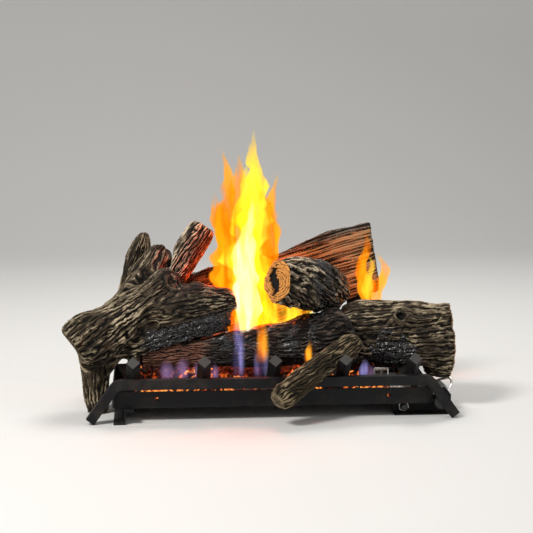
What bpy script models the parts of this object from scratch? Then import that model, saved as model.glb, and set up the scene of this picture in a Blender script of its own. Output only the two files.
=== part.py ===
"""A gas log set: ceramic logs on a black steel grate, over a burner pan with its gas controls.

Lengths are in metres, +X is to the right, +Y to the back and +Z up. Every piece is placed from the middle
of the grate at floor level, and the empty log_set then moves them all to the middle of their outer box.
"""

import math

import bmesh
import bpy
from mathutils import Matrix, Vector, noise

for old in list(bpy.data.objects):
    bpy.data.objects.remove(old, do_unlink=True)

# Clearances that every piece shares
gap = 0.0003
overrun = 0.004
set_shift_x = 0.0152
set_shift_y = 0.0439

# Grate: square bar, welded
bar_side = 0.014
bar_axis_height = 0.057
grate_half_width = 0.228
front_bar_y = -0.150
rear_bar_y = 0.095
leg_slope = math.radians(54)
bend_radius = 0.012
end_bar_inset = 0.024
cross_bar_count = 5
prong_slope = math.radians(39)
prong_end_height = 0.091
weld_depth = 0.002
post_width = 0.040
post_thickness = 0.003
post_slot_depth = 0.012
post_places_x = (0.060, 0.160)

# Burner pan and its support plates
pan_overhang = 0.007
pan_front_y = -0.1415
pan_back_y = 0.080
pan_under = 0.020
pan_depth = 0.024
pan_sheet = 0.002
pan_corner_radius = 0.010
skirt_hole_radius = 0.003
skirt_hole_inset = 0.065
plate_sheet = 0.0015
plate_inset = 0.018
plate_foot = 0.016
plate_flange = 0.014
plate_hole_radius = 0.003
plate_end_margin = 0.004
left_plate_front = 0.018
screw_radius = 0.002
screw_head_radius = 0.004
screw_head_height = 0.0022
screw_length = 0.007
pan_screw_inset_y = 0.042

# Burners and gas train
burner_radius = 0.011
burner_wall = 0.001
front_burner_y = -0.122
rear_burner_y = 0.012
burner_left_inset = 0.045
burner_right_inset = 0.031
port_width = 0.0022
port_length = 0.009
port_count = 11
port_margin = 0.014
manifold_side = 0.012
manifold_wall = 0.0015
manifold_inset = 0.011
manifold_end = 0.012
injector_radius = 0.0055
injector_nose_radius = 0.0028
injector_length = 0.016
injector_bore = 0.0008
feed_pipe_radius = 0.004
feed_pipe_y = -0.088

# Controls behind the right leg
valve_clearance = 0.0062
valve_width = 0.0225
valve_front_y = -0.112
valve_length = 0.048
valve_low = 0.010
valve_height = 0.028
valve_edge = 0.003
valve_nose_radius = 0.009
valve_nose_length = 0.004
bracket_sheet = 0.0015
bracket_lap = 0.055
bracket_reach = 0.033
bracket_top = 0.0375
bracket_corner = 0.012
bracket_foot = 0.018
bracket_hole_inset = 0.009
knob_inset = 0.0088
knob_height = 0.020
knob_radius = 0.0118
knob_length = 0.013
knob_ribs = 14
knob_rib_depth = 0.0010
knob_pointer_depth = 0.0012
knob_travel = 0.004
knob_bore_depth = 0.010
stem_radius = 0.0032
stem_sink = 0.012
igniter_inset = 0.039
igniter_height = 0.0102
igniter_radius = 0.0062
igniter_length = 0.030
igniter_nut_radius = 0.0080
igniter_nut_length = 0.003
button_radius = 0.0043
button_cap_radius = 0.0052
button_cap_length = 0.003
button_sink = 0.011
button_travel = 0.006
regulator_radius = 0.0150
regulator_height = 0.018
regulator_low = 0.010
regulator_flange = 0.0025
regulator_cap_radius = 0.0062
regulator_cap_height = 0.006
regulator_offset_y = 0.0165
inlet_radius = 0.0060
inlet_hex_radius = 0.0082
inlet_length = 0.022
inlet_hex_length = 0.009
inlet_bore = 0.0042

# Pilot burner
pilot_inset = 0.070
pilot_y = -0.096
pilot_sheet = 0.0012
pilot_width = 0.032
pilot_foot = 0.016
pilot_shelf_height = 0.016
pilot_shelf_depth = 0.018
hood_radius = 0.0042
hood_height = 0.022
probe_radius = 0.0021
probe_height = 0.026
electrode_radius = 0.0026
electrode_height = 0.020
pilot_pitch = 0.0105
pilot_tube_radius = 0.0021
tube_hole_margin = 0.0006
pilot_tube_wall_y = -0.030
pilot_tube_clearance = 0.0054

# Ember beds
ember_rise = 0.0028
ember_width = 0.030
ember_lumps = 25
ember_rows = 5
ember_step = 0.9
ember_row_step = 1.3
ember_roughness = 0.24
ember_side_share = 0.55

# Logs: where each lies, from the middle of the grate, with heights over the bars' upper edges
log_seat = 0.003
bark_share = 0.055
bark_waves = 5
lump_pitch = 1.7
ridge_pitch = 0.028
ridge_depth = 0.005
ridge_wander = 0.45
log_step = 0.014
ring_points = 16
foot_overhang = 0.059
right_overhang = 0.049
overhang_clearance = 0.004
right_log_underside = 0.0415

front_log_radius = 0.046
front_log_foot_y = -0.072
front_log_foot_rise = 0.024
front_log_knuckle = (-0.139, -0.045, 0.137)
root_radius = 0.025
root_top_from_foot = (0.025, 0.0, 0.004)
root_toe_from_foot = (0.031, -0.002)
branch_radius = 0.034
branch_root = (-0.168, -0.062, 0.078)
branch_tip = (-0.048, -0.067, 0.096)
belly_radius = 0.035
belly_root = (-0.216, -0.060, 0.024)
belly_tip = (-0.058, -0.064, 0.080)
back_branch_radius = 0.029
back_branch_root = (-0.212, -0.030, 0.078)
back_branch_tip = (-0.156, 0.018, 0.170)

slim_log_radius = 0.0215
slim_log_overhang = 0.002
slim_log_foot_y = 0.078
slim_log_top_from_foot = (0.045, -0.020)
slim_log_top_rise = 0.190

top_branch_radius = 0.0245
top_branch_foot = (-0.140, 0.004, 0.128)
top_branch_tip = (-0.091, 0.024, 0.200)
top_branch_split_turn = math.radians(52)
top_branch_split_share = 0.80

right_log_radius = 0.058
right_log_left = (0.112, -0.013, 0.036)
right_log_end_y = -0.062
right_log_end_rise = 0.030
right_log_waste = 0.025
knot_radius = 0.015
knot_hole_radius = 0.0065
knot_height = 0.005
knot_depth = 0.009
knot_along_share = 0.50
knot_turn = math.radians(43)

middle_log_radius = 0.046
middle_log_left = (-0.193, -0.068)
middle_log_right = (0.134, -0.071)

split_log_radius = 0.031
split_log_near = (0.006, -0.122)
split_log_near_rise = 0.134
split_log_far = (0.122, 0.012)
split_log_far_rise = 0.092

rear_log_radius = 0.064
rear_log_right_share = 0.87
rear_log_left = (-0.130, 0.052)
rear_log_right = (0.215, 0.048)
rear_log_slope = math.radians(17.2)
rear_log_saw = (0.173, 0.270)
rear_log_saw_lean = math.radians(-8.7)

twig_radius = 0.0195
twig_low = (-0.001, -0.195, -0.029)
twig_crossing = (0.068, -0.152)
twig_high = (0.126, -0.113, 0.043)

# Levels and places that follow from the sizes above
pan_half_width = grate_half_width + pan_overhang
burner_left_x = -pan_half_width + burner_left_inset
burner_right_x = pan_half_width - burner_right_inset
manifold_x = pan_half_width - manifold_inset
valve_left_x = pan_half_width + valve_clearance
bracket_left_x = pan_half_width - bracket_lap
bracket_right_x = pan_half_width + bracket_reach
knob_x = valve_left_x + knob_inset
igniter_x = pan_half_width - igniter_inset
pilot_x = pan_half_width - pilot_inset
pilot_tube_outer_x = valve_left_x + 2 * regulator_radius + gap + pilot_tube_radius + pilot_tube_clearance
cross_bar_spacing = 2 * (grate_half_width - end_bar_inset) / (cross_bar_count - 1)
half_diagonal = bar_side / math.sqrt(2)
grate_top = bar_axis_height + half_diagonal
bar_top = bar_axis_height + bar_side / 2
pan_floor = pan_under + pan_sheet
pan_rim = pan_under + pan_depth
burner_height = pan_floor + gap + burner_radius
pilot_tube_wall_height = pan_floor + 2 * gap + pilot_tube_radius
cross_bars_x = [cross_bar_spacing * (i - (cross_bar_count - 1) / 2) for i in range(cross_bar_count)]

log_set = bpy.data.objects.new("log_set", None)
log_set.location = (set_shift_x, set_shift_y, 0)
bpy.context.scene.collection.objects.link(log_set)


def finish(name, colour, roughness, metallic=0.0, emission=0.0):
    """A plain Principled BSDF material."""
    material = bpy.data.materials.new(name)
    material.use_nodes = True
    shader = material.node_tree.nodes["Principled BSDF"]
    shader.inputs["Base Color"].default_value = (*colour, 1)
    shader.inputs["Roughness"].default_value = roughness
    shader.inputs["Metallic"].default_value = metallic
    shader.inputs["Emission Color"].default_value = (*colour, 1)
    shader.inputs["Emission Strength"].default_value = emission
    return material


black_steel = finish("black_steel", (0.018, 0.018, 0.019), 0.55, 0.3)
bark = finish("bark", (0.21, 0.16, 0.11), 0.9)
char = finish("char", (0.025, 0.022, 0.02), 0.6)
ember_glow = finish("ember_glow", (0.9, 0.22, 0.04), 0.9, 0.0, 0.6)
burner_steel = finish("burner_steel", (0.35, 0.33, 0.31), 0.5, 0.9)
brass = finish("brass", (0.72, 0.47, 0.17), 0.35, 1.0)
cast_aluminium = finish("cast_aluminium", (0.55, 0.55, 0.55), 0.5, 0.9)
bright_aluminium = finish("bright_aluminium", (0.85, 0.85, 0.86), 0.25, 1.0)
black_plastic = finish("black_plastic", (0.02, 0.02, 0.02), 0.45)
white_ceramic = finish("white_ceramic", (0.85, 0.83, 0.78), 0.4)
zinc_steel = finish("zinc_steel", (0.6, 0.6, 0.58), 0.35, 1.0)


def add_object(name, shape, material=None):
    """Turns a bmesh into a named object of the set. Without a material it is a helper that isn't rendered."""
    bmesh.ops.recalc_face_normals(shape, faces=shape.faces)
    mesh = bpy.data.meshes.new(name)
    shape.to_mesh(mesh)
    shape.free()
    piece = bpy.data.objects.new(name, mesh)
    bpy.context.scene.collection.objects.link(piece)
    piece.parent = log_set
    if material:
        mesh.materials.append(material)
    else:
        piece.hide_render = True
        piece.display_type = "WIRE"
    return piece


def combine(piece, others, operation):
    """Cuts or joins each of the others into piece with a Boolean, keeps the result and removes the others."""
    for other in others:
        step = piece.modifiers.new(operation.lower(), "BOOLEAN")
        step.operation = operation
        step.solver = "EXACT"
        step.object = other
    seen = piece.evaluated_get(bpy.context.evaluated_depsgraph_get())
    result = bpy.data.meshes.new_from_object(seen)
    piece.modifiers.clear()
    piece.data = result
    for other in others:
        bpy.data.objects.remove(other, do_unlink=True)
    return piece


def round_off(piece, angle=math.radians(35)):
    """Shades the round faces smooth and keeps the edges."""
    piece.data.shade_smooth()
    piece.data.set_sharp_from_angle(angle=angle)
    return piece


def block(low, high):
    """A box between two corners."""
    low = Vector(low)
    high = Vector(high)
    shape = bmesh.new()
    bmesh.ops.create_cube(shape, size=1)
    bmesh.ops.scale(shape, vec=high - low, verts=shape.verts)
    bmesh.ops.translate(shape, vec=(low + high) / 2, verts=shape.verts)
    return shape


def rings_to_solid(rings, in_triangles=False):
    """Joins rings of points into one closed skin, with a fan of faces on each end. Rough wood is made of
    triangles, so that a seat cut from it matches it exactly."""
    shape = bmesh.new()
    rows = [[shape.verts.new(point) for point in ring] for ring in rings]
    count = len(rings[0])
    for row, after in zip(rows, rows[1:]):
        for i in range(count):
            j = (i + 1) % count
            if in_triangles:
                shape.faces.new((row[i], row[j], after[j]))
                shape.faces.new((row[i], after[j], after[i]))
            else:
                shape.faces.new((row[i], row[j], after[j], after[i]))
    for row in (rows[0], rows[-1]):
        middle = shape.verts.new(sum((v.co for v in row), Vector()) / count)
        for i in range(count):
            shape.faces.new((row[i], row[(i + 1) % count], middle))
    return shape


def turned(base, axis, profile, sides):
    """A round solid: profile rows are (distance along the axis, radius), from one end to the other."""
    axis = Vector(axis).normalized()
    side = axis.orthogonal().normalized()
    other = axis.cross(side)
    rings = []
    for along, radius in profile:
        centre = Vector(base) + axis * along
        turns = [2 * math.pi * i / sides for i in range(sides)]
        rings.append([centre + (side * math.cos(a) + other * math.sin(a)) * radius for a in turns])
    return rings_to_solid(rings)


def rod(start, end, radius, sides=16):
    """A plain round bar from one point to another."""
    span = Vector(end) - Vector(start)
    return turned(start, span, ((0, radius), (span.length, radius)), sides)


def square_bar(route, side, roll=0.0):
    """A square bar along a route, mitred at its corners and cut square at its ends."""
    route = [Vector(point) for point in route]
    ways = [(b - a).normalized() for a, b in zip(route, route[1:])]
    flat = Vector((0, 0, 1)) if abs(ways[0].z) < math.cos(math.pi / 4) else Vector((0, 1, 0))
    aside = ways[0].cross(flat).normalized()
    above = aside.cross(ways[0]).normalized()
    half = side / math.sqrt(2)
    quarter = math.pi / 2
    corners = [roll + quarter * (i + 1 / 2) for i in range(4)]
    ring = [route[0] + (aside * math.cos(a) + above * math.sin(a)) * half for a in corners]
    rings = [ring]
    for i, way in enumerate(ways):
        after = ways[i + 1] if i + 1 < len(ways) else way
        mitre = (way + after).normalized()
        slide = [(route[i + 1] - point).dot(mitre) / way.dot(mitre) for point in ring]
        ring = [point + way * distance for point, distance in zip(ring, slide)]
        rings.append(ring)
    return rings_to_solid(rings)


def rounded_bend(before, corner, after, radius, steps=3):
    """Points of an arc that replaces the corner between two straight runs."""
    arrive = (Vector(corner) - Vector(before)).normalized()
    leave = (Vector(after) - Vector(corner)).normalized()
    half = arrive.angle(leave) / 2
    reach = radius * math.tan(half)
    start = Vector(corner) - arrive * reach
    centre = start + (leave - arrive * arrive.dot(leave)).normalized() * radius
    turn = arrive.cross(leave)
    angles = [2 * half * i / steps for i in range(steps + 1)]
    return [centre + Matrix.Rotation(a, 3, turn) @ (start - centre) for a in angles]


def smooth_route(points, per_span=6):
    """Points along a Catmull-Rom curve through the given ones."""
    points = [Vector(p) for p in points]
    ends = [2 * points[0] - points[1], *points, 2 * points[-1] - points[-2]]
    route = []
    for a, b, c, d in zip(ends, ends[1:], ends[2:], ends[3:]):
        for i in range(per_span):
            t = i / per_span
            bend = 2 * b + (c - a) * t + (2 * a - 5 * b + 4 * c - d) * t**2
            route.append((bend + (3 * b - a - 3 * c + d) * t**3) / 2)
    return [*route, points[-1]]


def pierced(piece, cutters):
    """Cuts a list of unnamed solids out of a piece."""
    return combine(piece, [add_object("cutter", cutter) for cutter in cutters], "DIFFERENCE")


def drill(place, axis, radius, depth, sides=12):
    """A round cutter through a sheet, centred on the place."""
    half = Vector(axis).normalized() * depth
    return rod(Vector(place) - half, Vector(place) + half, radius, sides)


# Grate
def leg_end(side_sign, y):
    """Where the axis of a leg ends, with the lowest corner of its square-cut end on the floor."""
    drop = bar_axis_height - bar_side / 2 * math.cos(leg_slope)
    return Vector((side_sign * (grate_half_width + drop / math.tan(leg_slope)), y, bar_axis_height - drop))


def bent_bar(y, side=bar_side):
    """The front or the rear bar: one square bar with both ends bent down into legs."""
    left = Vector((-grate_half_width, y, bar_axis_height))
    right = Vector((grate_half_width, y, bar_axis_height))
    left_end = leg_end(-1, y)
    right_end = leg_end(1, y)
    route = [left_end, *rounded_bend(left_end, left, right, bend_radius)]
    route += [*rounded_bend(left, right, right_end, bend_radius), right_end]
    return square_bar(route, side)


def prong_route():
    """The middle line of a cross bar in its own plane: y and z from the rear bar to the prong's tip."""
    lift = (half_diagonal - weld_depth) / math.cos(prong_slope)
    over_bar = bar_top + lift
    bend_y = front_bar_y + bar_side / 2 + (over_bar - bar_axis_height) / math.tan(prong_slope)
    tip_y = bend_y - (prong_end_height - bar_axis_height) / math.tan(prong_slope)
    back_y = rear_bar_y - bar_side / 2 - gap
    return (back_y, bar_axis_height), (bend_y, bar_axis_height), (tip_y, prong_end_height)


def cross_bar(x, margin=0.0):
    """One cross bar on edge with its prong. A margin makes it thicker, for the groove that it fits."""
    back, bend, tip = (Vector((x, y, z)) for y, z in prong_route())
    bend_points = rounded_bend(back, bend, tip, bend_radius)
    route = [back, *bend_points, tip]
    return square_bar(route, bar_side + 2 * margin, roll=math.pi / 4)


def build_grate():
    """Two bent bars and the cross bars welded between them, with the two posts of the rear log."""
    add_object("grate_front_bar", bent_bar(front_bar_y), black_steel)
    add_object("grate_rear_bar", bent_bar(rear_bar_y), black_steel)
    for number, x in enumerate(cross_bars_x, start=1):
        bar = add_object(f"grate_cross_bar_{number}", cross_bar(x), black_steel)
        combine(bar, [add_object("weld", bent_bar(front_bar_y, bar_side + 2 * gap))], "DIFFERENCE")
    for number, x in enumerate(post_places_x, start=1):
        add_object(f"rear_log_post_{number}", rear_log_post(x), black_steel)


def rear_log_underside(x, y):
    """How high the underside of the rear log is over a point."""
    radius = rear_log_radius * rear_log_right_share
    across = math.sqrt(radius**2 - min(y - rear_log_left[1], radius) ** 2)
    return rear_log_axis_height(x) - across / math.cos(rear_log_slope)


def rear_log_axis_height(x):
    """The height of the rear log's axis, which climbs to the right from the cross bar that carries it."""
    on_bar = grate_top - log_seat + rear_log_radius / math.cos(rear_log_slope)
    return on_bar + (x - cross_bars_x[1]) * math.tan(rear_log_slope)


def rear_log_post(x, margin=0.0):
    """A flat upright welded on the rear bar, whose top stands in a slot in the rear log."""
    top = rear_log_underside(x, rear_bar_y) + post_slot_depth
    low = (x - post_width / 2 - margin, rear_bar_y - post_thickness / 2 - margin, bar_top + gap - margin)
    high = (x + post_width / 2 + margin, rear_bar_y + post_thickness / 2 + margin, top + margin)
    return block(low, high)


# Burner pan and support plates
def rounded_outline(low, high, radius, steps=4):
    """An upright box outline with its front corners rounded, as points around it."""
    points = []
    y = low[1] + radius
    for x, start in ((low[0] + radius, math.pi), (high[0] - radius, 3 * math.pi / 2)):
        for i in range(steps + 1):
            angle = start + math.pi / 2 * i / steps
            points.append((x + radius * math.cos(angle), y + radius * math.sin(angle)))
    return points + [(high[0], high[1]), (low[0], high[1])]


def extruded(outline, way):
    """A solid that a flat outline of points sweeps along a way."""
    shape = bmesh.new()
    face = shape.faces.new([shape.verts.new(point) for point in outline])
    moved = bmesh.ops.extrude_face_region(shape, geom=[face])["geom"]
    ends = [v for v in moved if isinstance(v, bmesh.types.BMVert)]
    bmesh.ops.translate(shape, vec=way, verts=ends)
    return shape


def prism(outline, low, high):
    """An upright solid between two levels on an outline of x and y points."""
    return extruded([(x, y, low) for x, y in outline], (0, 0, high - low))


def plate_x(side_sign):
    """The outer face of a support plate."""
    return side_sign * (pan_half_width - plate_inset)


def pan_screw_places():
    """Where the four screws go down through the pan into the plates."""
    rows = (pan_front_y + pan_screw_inset_y, pan_back_y - pan_screw_inset_y)
    inset = plate_sheet + (plate_flange - plate_sheet) / 2
    return [(side * (abs(plate_x(1)) - inset), y) for side in (-1, 1) for y in rows]


def build_pan():
    """The open tray that holds the burners, with its front wall as the skirt, on two folded plates."""
    outer = rounded_outline((-pan_half_width, pan_front_y), (pan_half_width, pan_back_y), pan_corner_radius)
    inner_low = (-pan_half_width + pan_sheet, pan_front_y + pan_sheet)
    inner_high = (pan_half_width - pan_sheet, pan_back_y - pan_sheet)
    inner = rounded_outline(inner_low, inner_high, pan_corner_radius - pan_sheet)
    pan = add_object("burner_pan", prism(outer, pan_under, pan_rim), black_steel)
    cutters = [prism(inner, pan_floor, pan_rim + overrun)]
    skirt_middle = (pan_floor + pan_rim) / 2
    for side in (-1, 1):
        place = (side * (pan_half_width - skirt_hole_inset), pan_front_y, skirt_middle)
        cutters.append(drill(place, (0, 1, 0), skirt_hole_radius, overrun))
    for x, y in pan_screw_places():
        cutters.append(drill((x, y, pan_under), (0, 0, 1), screw_radius + gap, overrun))
    wall = (pan_half_width, feed_pipe_y, burner_height)
    cutters.append(drill(wall, (1, 0, 0), feed_pipe_radius + gap, overrun))
    tube_wall = (pan_half_width, pilot_tube_wall_y, pilot_tube_wall_height)
    cutters.append(drill(tube_wall, (1, 0, 0), pilot_tube_radius + tube_hole_margin, overrun))
    cutters.append(drill(bracket_screw_place(), (1, 0, 0), screw_radius + gap, overrun))
    pierced(pan, cutters)
    for number, (x, y) in enumerate(pan_screw_places(), start=1):
        head = (-screw_head_height, screw_head_radius)
        dome = (0, screw_head_radius)
        top = (x, y, pan_floor + gap)
        profile = (head, dome, (0, screw_radius), (screw_length, screw_radius))
        round_off(add_object(f"pan_screw_{number}", turned(top, (0, 0, -1), profile, 10), zinc_steel))


def build_support_plates():
    """Folded plates under the pan: a flange below the pan's floor, a wall, and a foot turned out."""
    top = pan_under - gap
    high_y = pan_back_y - plate_end_margin
    left = ("left_support_plate", -1, pan_front_y - left_plate_front)
    right = ("right_support_plate", 1, valve_front_y + gap)
    for name, side, low_y in (left, right):
        face = plate_x(side)
        inner = face - side * plate_sheet
        flange = face - side * plate_flange
        foot = face + side * plate_foot
        section = [(foot, 0), (foot, plate_sheet), (face, plate_sheet), (face, top)]
        section += [(flange, top), (flange, top - plate_sheet), (inner, top - plate_sheet), (inner, 0)]
        plate = extruded([(x, low_y, z) for x, z in section], (0, high_y - low_y, 0))
        places = [(x, y, top) for x, y in pan_screw_places() if x * side > 0]
        holes = [drill(place, (0, 0, 1), screw_radius + gap, overrun) for place in places]
        foot_middle = face + side * plate_foot / 2
        for y in (low_y + plate_foot / 2, high_y - plate_foot / 2):
            holes.append(drill((foot_middle, y, 0), (0, 0, 1), plate_hole_radius, overrun))
        pierced(add_object(name, plate, black_steel), holes)


# Burners and gas train
def burner(name, y):
    """A drawn tube, closed at its left end, with a row of port slots along its top."""
    inner = burner_radius - burner_wall
    length = burner_right_x - burner_left_x
    start = (burner_left_x, y, burner_height)
    profile = ((0, inner), (burner_wall, burner_radius), (length, burner_radius), (length, inner),
               (2 * burner_wall, inner))
    tube = add_object(name, turned(start, (1, 0, 0), profile, 16), burner_steel)
    run = length - 2 * port_margin
    cutters = []
    for i in range(port_count):
        x = burner_left_x + port_margin + run * i / (port_count - 1)
        low = (x - port_width / 2, y - port_length / 2, burner_height)
        high = (x + port_width / 2, y + port_length / 2, burner_height + burner_radius + overrun)
        cutters.append(block(low, high))
    return round_off(pierced(tube, cutters))


def injector(name, y):
    """A brass injector on the manifold: a hexagon and a nose with its jet, inside the burner's end."""
    base = (manifold_x - manifold_side / 2 - gap, y, burner_height)
    hex_end = injector_length / 3
    profile = ((0, injector_radius), (hex_end, injector_radius), (hex_end, injector_nose_radius))
    nose = (*profile, (injector_length, injector_nose_radius))
    piece = add_object(name, turned(base, (-1, 0, 0), nose, 6), brass)
    tip = (manifold_x - manifold_side / 2 - injector_length, y, burner_height)
    return pierced(piece, [drill(tip, (1, 0, 0), injector_bore, injector_length / 2, 8)])


def build_gas_train():
    """Burner tubes, their injectors, the manifold between them and the feed pipe from the valve."""
    burner("front_burner_tube", front_burner_y)
    burner("rear_burner_tube", rear_burner_y)
    injector("front_injector", front_burner_y)
    injector("rear_injector", rear_burner_y)
    half = manifold_side / 2
    bore = half - manifold_wall
    low_y = max(front_burner_y - manifold_end, pan_front_y + pan_sheet + gap)
    high_y = rear_burner_y + manifold_end
    low = (manifold_x - half, low_y, burner_height - half)
    high = (manifold_x + half, high_y, burner_height + half)
    manifold = add_object("gas_manifold", block(low, high), burner_steel)
    hollow = block((manifold_x - bore, low_y + manifold_wall, burner_height - bore),
                   (manifold_x + bore, high_y - manifold_wall, burner_height + bore))
    inlet = drill((manifold_x + half, feed_pipe_y, burner_height), (1, 0, 0), feed_pipe_radius / 2, half)
    pierced(manifold, [hollow, inlet])
    start = (manifold_x + half + gap, feed_pipe_y, burner_height)
    end = (valve_left_x - gap, feed_pipe_y, burner_height)
    pipe = add_object("feed_pipe", rod(start, end, feed_pipe_radius, 12), cast_aluminium)
    bore_cutter = drill(start, (1, 0, 0), feed_pipe_radius / 2, end[0] - start[0] + overrun, 8)
    round_off(pierced(pipe, [bore_cutter]))
    ember_bed("front_ember_bed", front_burner_y)
    ember_bed("rear_ember_bed", rear_burner_y)


def ember_bed(name, y):
    """A ridge of ember lumps heaped over a burner tube, from the pan's floor to between the cross bars."""
    half = ember_width / 2
    low_y = max(y - half, pan_front_y + pan_sheet + gap)
    high_y = y + half
    rings = []
    first = burner_left_x - half
    length = burner_right_x - burner_left_x - half
    base = pan_floor + gap
    crest = bar_axis_height + ember_rise - base
    for i in range(ember_lumps + 1):
        x = first + length * i / ember_lumps
        ring = [Vector((x, high_y, base)), Vector((x, low_y, base))]
        for j in range(ember_rows):
            share = j / (ember_rows - 1)
            spot = Vector((i * ember_step, j * ember_row_step, y / ember_width))
            bump = ember_roughness * (noise.noise(spot) - 1 / 2)
            arch = ember_side_share + (1 - ember_side_share) * math.sin(math.pi * share)
            ring.append(Vector((x, low_y + (high_y - low_y) * share, base + crest * arch * (1 + bump))))
        rings.append(ring)
    bed = add_object(name, rings_to_solid(rings), ember_glow)
    start = (first - overrun, y, burner_height)
    end = (burner_right_x + overrun, y, burner_height)
    return pierced(bed, [rod(start, end, burner_radius + gap, 16), *grooves()])


# Controls
def bracket_screw_place():
    """Where the screw goes through the control bracket's side flange into the pan."""
    middle = (pan_floor + pan_rim) / 2
    return (pan_half_width, pan_front_y + pan_corner_radius + screw_head_radius, middle)


def build_bracket(plate_front, plate_back):
    """A sheet with its foot turned forward. It passes under the pan, and its flange is screwed to the pan."""
    side_low = pan_half_width + gap
    plate_left = side_low + bracket_sheet / 2
    foot_front = plate_front - bracket_foot
    section = [(plate_back, 0), (plate_back, bracket_top), (plate_front, bracket_top)]
    section += [(plate_front, bracket_sheet), (foot_front, bracket_sheet), (foot_front, 0)]
    way = (bracket_right_x - bracket_left_x, 0, 0)
    folded = extruded([(bracket_left_x, y, z) for y, z in section], way)
    bracket = add_object("control_bracket", folded, black_steel)
    low = (bracket_left_x - overrun, plate_front - overrun, pan_under - gap)
    under_pan = block(low, (plate_left, plate_back + overrun, bracket_top + overrun))
    beyond = bracket_right_x + overrun
    corner = [(bracket_right_x - bracket_corner, bracket_top + overrun), (beyond, bracket_top + overrun),
              (beyond, bracket_top - bracket_corner - overrun)]
    through = (0, bracket_sheet + 2 * overrun, 0)
    off_corner = extruded([(x, plate_front - overrun, z) for x, z in corner], through)
    pierced(bracket, [under_pan, off_corner])
    low = (side_low, pan_front_y + pan_corner_radius, pan_under)
    high = (side_low + bracket_sheet, plate_back - bracket_sheet / 2, bracket_top - bracket_sheet)
    flange = block(low, high)
    combine(bracket, [add_object("flange", flange)], "UNION")
    holes = [
        drill((knob_x, plate_back, knob_height), (0, 1, 0), valve_nose_radius + gap, overrun, 20),
        drill((igniter_x, plate_back, igniter_height), (0, 1, 0), igniter_radius + gap, overrun, 20),
        drill(bracket_screw_place(), (1, 0, 0), screw_radius + gap, overrun),
    ]
    for x in (bracket_left_x + bracket_hole_inset, bracket_right_x - bracket_hole_inset):
        holes.append(drill((x, plate_front - bracket_hole_inset, 0), (0, 0, 1), plate_hole_radius, overrun))
    return pierced(bracket, holes)


def build_controls():
    """The valve with its knob, the igniter, the regulator and the gas inlet, on a folded bracket."""
    plate_back = valve_front_y - gap
    plate_front = plate_back - bracket_sheet
    build_bracket(plate_front, plate_back)
    x, y, z = bracket_screw_place()
    screw_face = (x + bracket_sheet + 2 * gap, y, z)
    profile = ((-screw_head_height, screw_head_radius), (0, screw_head_radius), (0, screw_radius),
               (screw_length, screw_radius))
    round_off(add_object("bracket_screw", turned(screw_face, (-1, 0, 0), profile, 10), zinc_steel))

    low = (valve_left_x, valve_front_y, valve_low)
    high = (valve_left_x + valve_width, valve_front_y + valve_length, valve_low + valve_height)
    body = block(low, high)
    spans = [(edge, edge.verts[0].co - edge.verts[1].co) for edge in body.edges]
    level = [edge for edge, span in spans if abs(span.y) > valve_length / 2]
    bmesh.ops.bevel(body, geom=level, offset=valve_edge, segments=2, affect="EDGES", profile=0.5)
    valve = add_object("control_valve_body", body, cast_aluminium)
    nose_base = (knob_x, valve_front_y + overrun, knob_height)
    nose_reach = overrun + bracket_sheet + gap + valve_nose_length
    nose = turned(nose_base, (0, -1, 0), ((0, valve_nose_radius), (nose_reach, valve_nose_radius)), 20)
    combine(valve, [add_object("nose", nose)], "UNION")
    stem_base = nose_base[1] - nose_reach
    stem_bore_end = stem_base + stem_sink + knob_travel + gap
    bore_start = (knob_x, stem_base - overrun, knob_height)
    stem_bore = rod(bore_start, (knob_x, stem_bore_end, knob_height), stem_radius + gap, 16)
    outlet = (valve_left_x, feed_pipe_y, burner_height)
    outlet_bore = drill(outlet, (1, 0, 0), feed_pipe_radius / 2, valve_width / 4, 8)
    round_off(pierced(valve, [stem_bore, outlet_bore]))

    knob_back = stem_base - gap - knob_travel
    stem_tip = knob_back - knob_bore_depth + gap
    round_off(add_object("control_stem", rod((knob_x, stem_base + stem_sink, knob_height),
                                             (knob_x, stem_tip, knob_height), stem_radius, 16), zinc_steel))
    build_knob(knob_back)

    tube_front = plate_front - igniter_nut_length - 2 * gap
    start = (igniter_x, tube_front, igniter_height)
    bore_end = button_sink + button_travel + gap
    collar = plate_back + gap - tube_front
    length = igniter_length + igniter_nut_length
    bore = button_radius + gap
    tube = ((bore_end, bore), (0, bore), (0, igniter_radius), (collar, igniter_radius),
            (collar, igniter_nut_radius), (collar + igniter_nut_length, igniter_nut_radius),
            (collar + igniter_nut_length, igniter_radius), (length, igniter_radius))
    round_off(add_object("igniter_body", turned(start, (0, 1, 0), tube, 20), black_plastic))
    button_back = tube_front + button_sink
    nut_start = (igniter_x, plate_front - gap, igniter_height)
    nut_end = (igniter_x, plate_front - gap - igniter_nut_length, igniter_height)
    nut = add_object("igniter_nut", rod(nut_start, nut_end, igniter_nut_radius, 6), zinc_steel)
    pierced(nut, [drill(nut_start, (0, 1, 0), igniter_radius + gap, 2 * igniter_nut_length, 20)])
    reach = button_sink + button_travel + gap
    dome = button_cap_radius - button_cap_length / 3
    profile = ((0, button_radius), (reach, button_radius), (reach, button_cap_radius),
               (reach + 2 * button_cap_length / 3, button_cap_radius), (reach + button_cap_length, dome))
    button = turned((igniter_x, button_back, igniter_height), (0, -1, 0), profile, 16)
    round_off(add_object("igniter_button", button, black_plastic))
    build_regulator()


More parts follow.
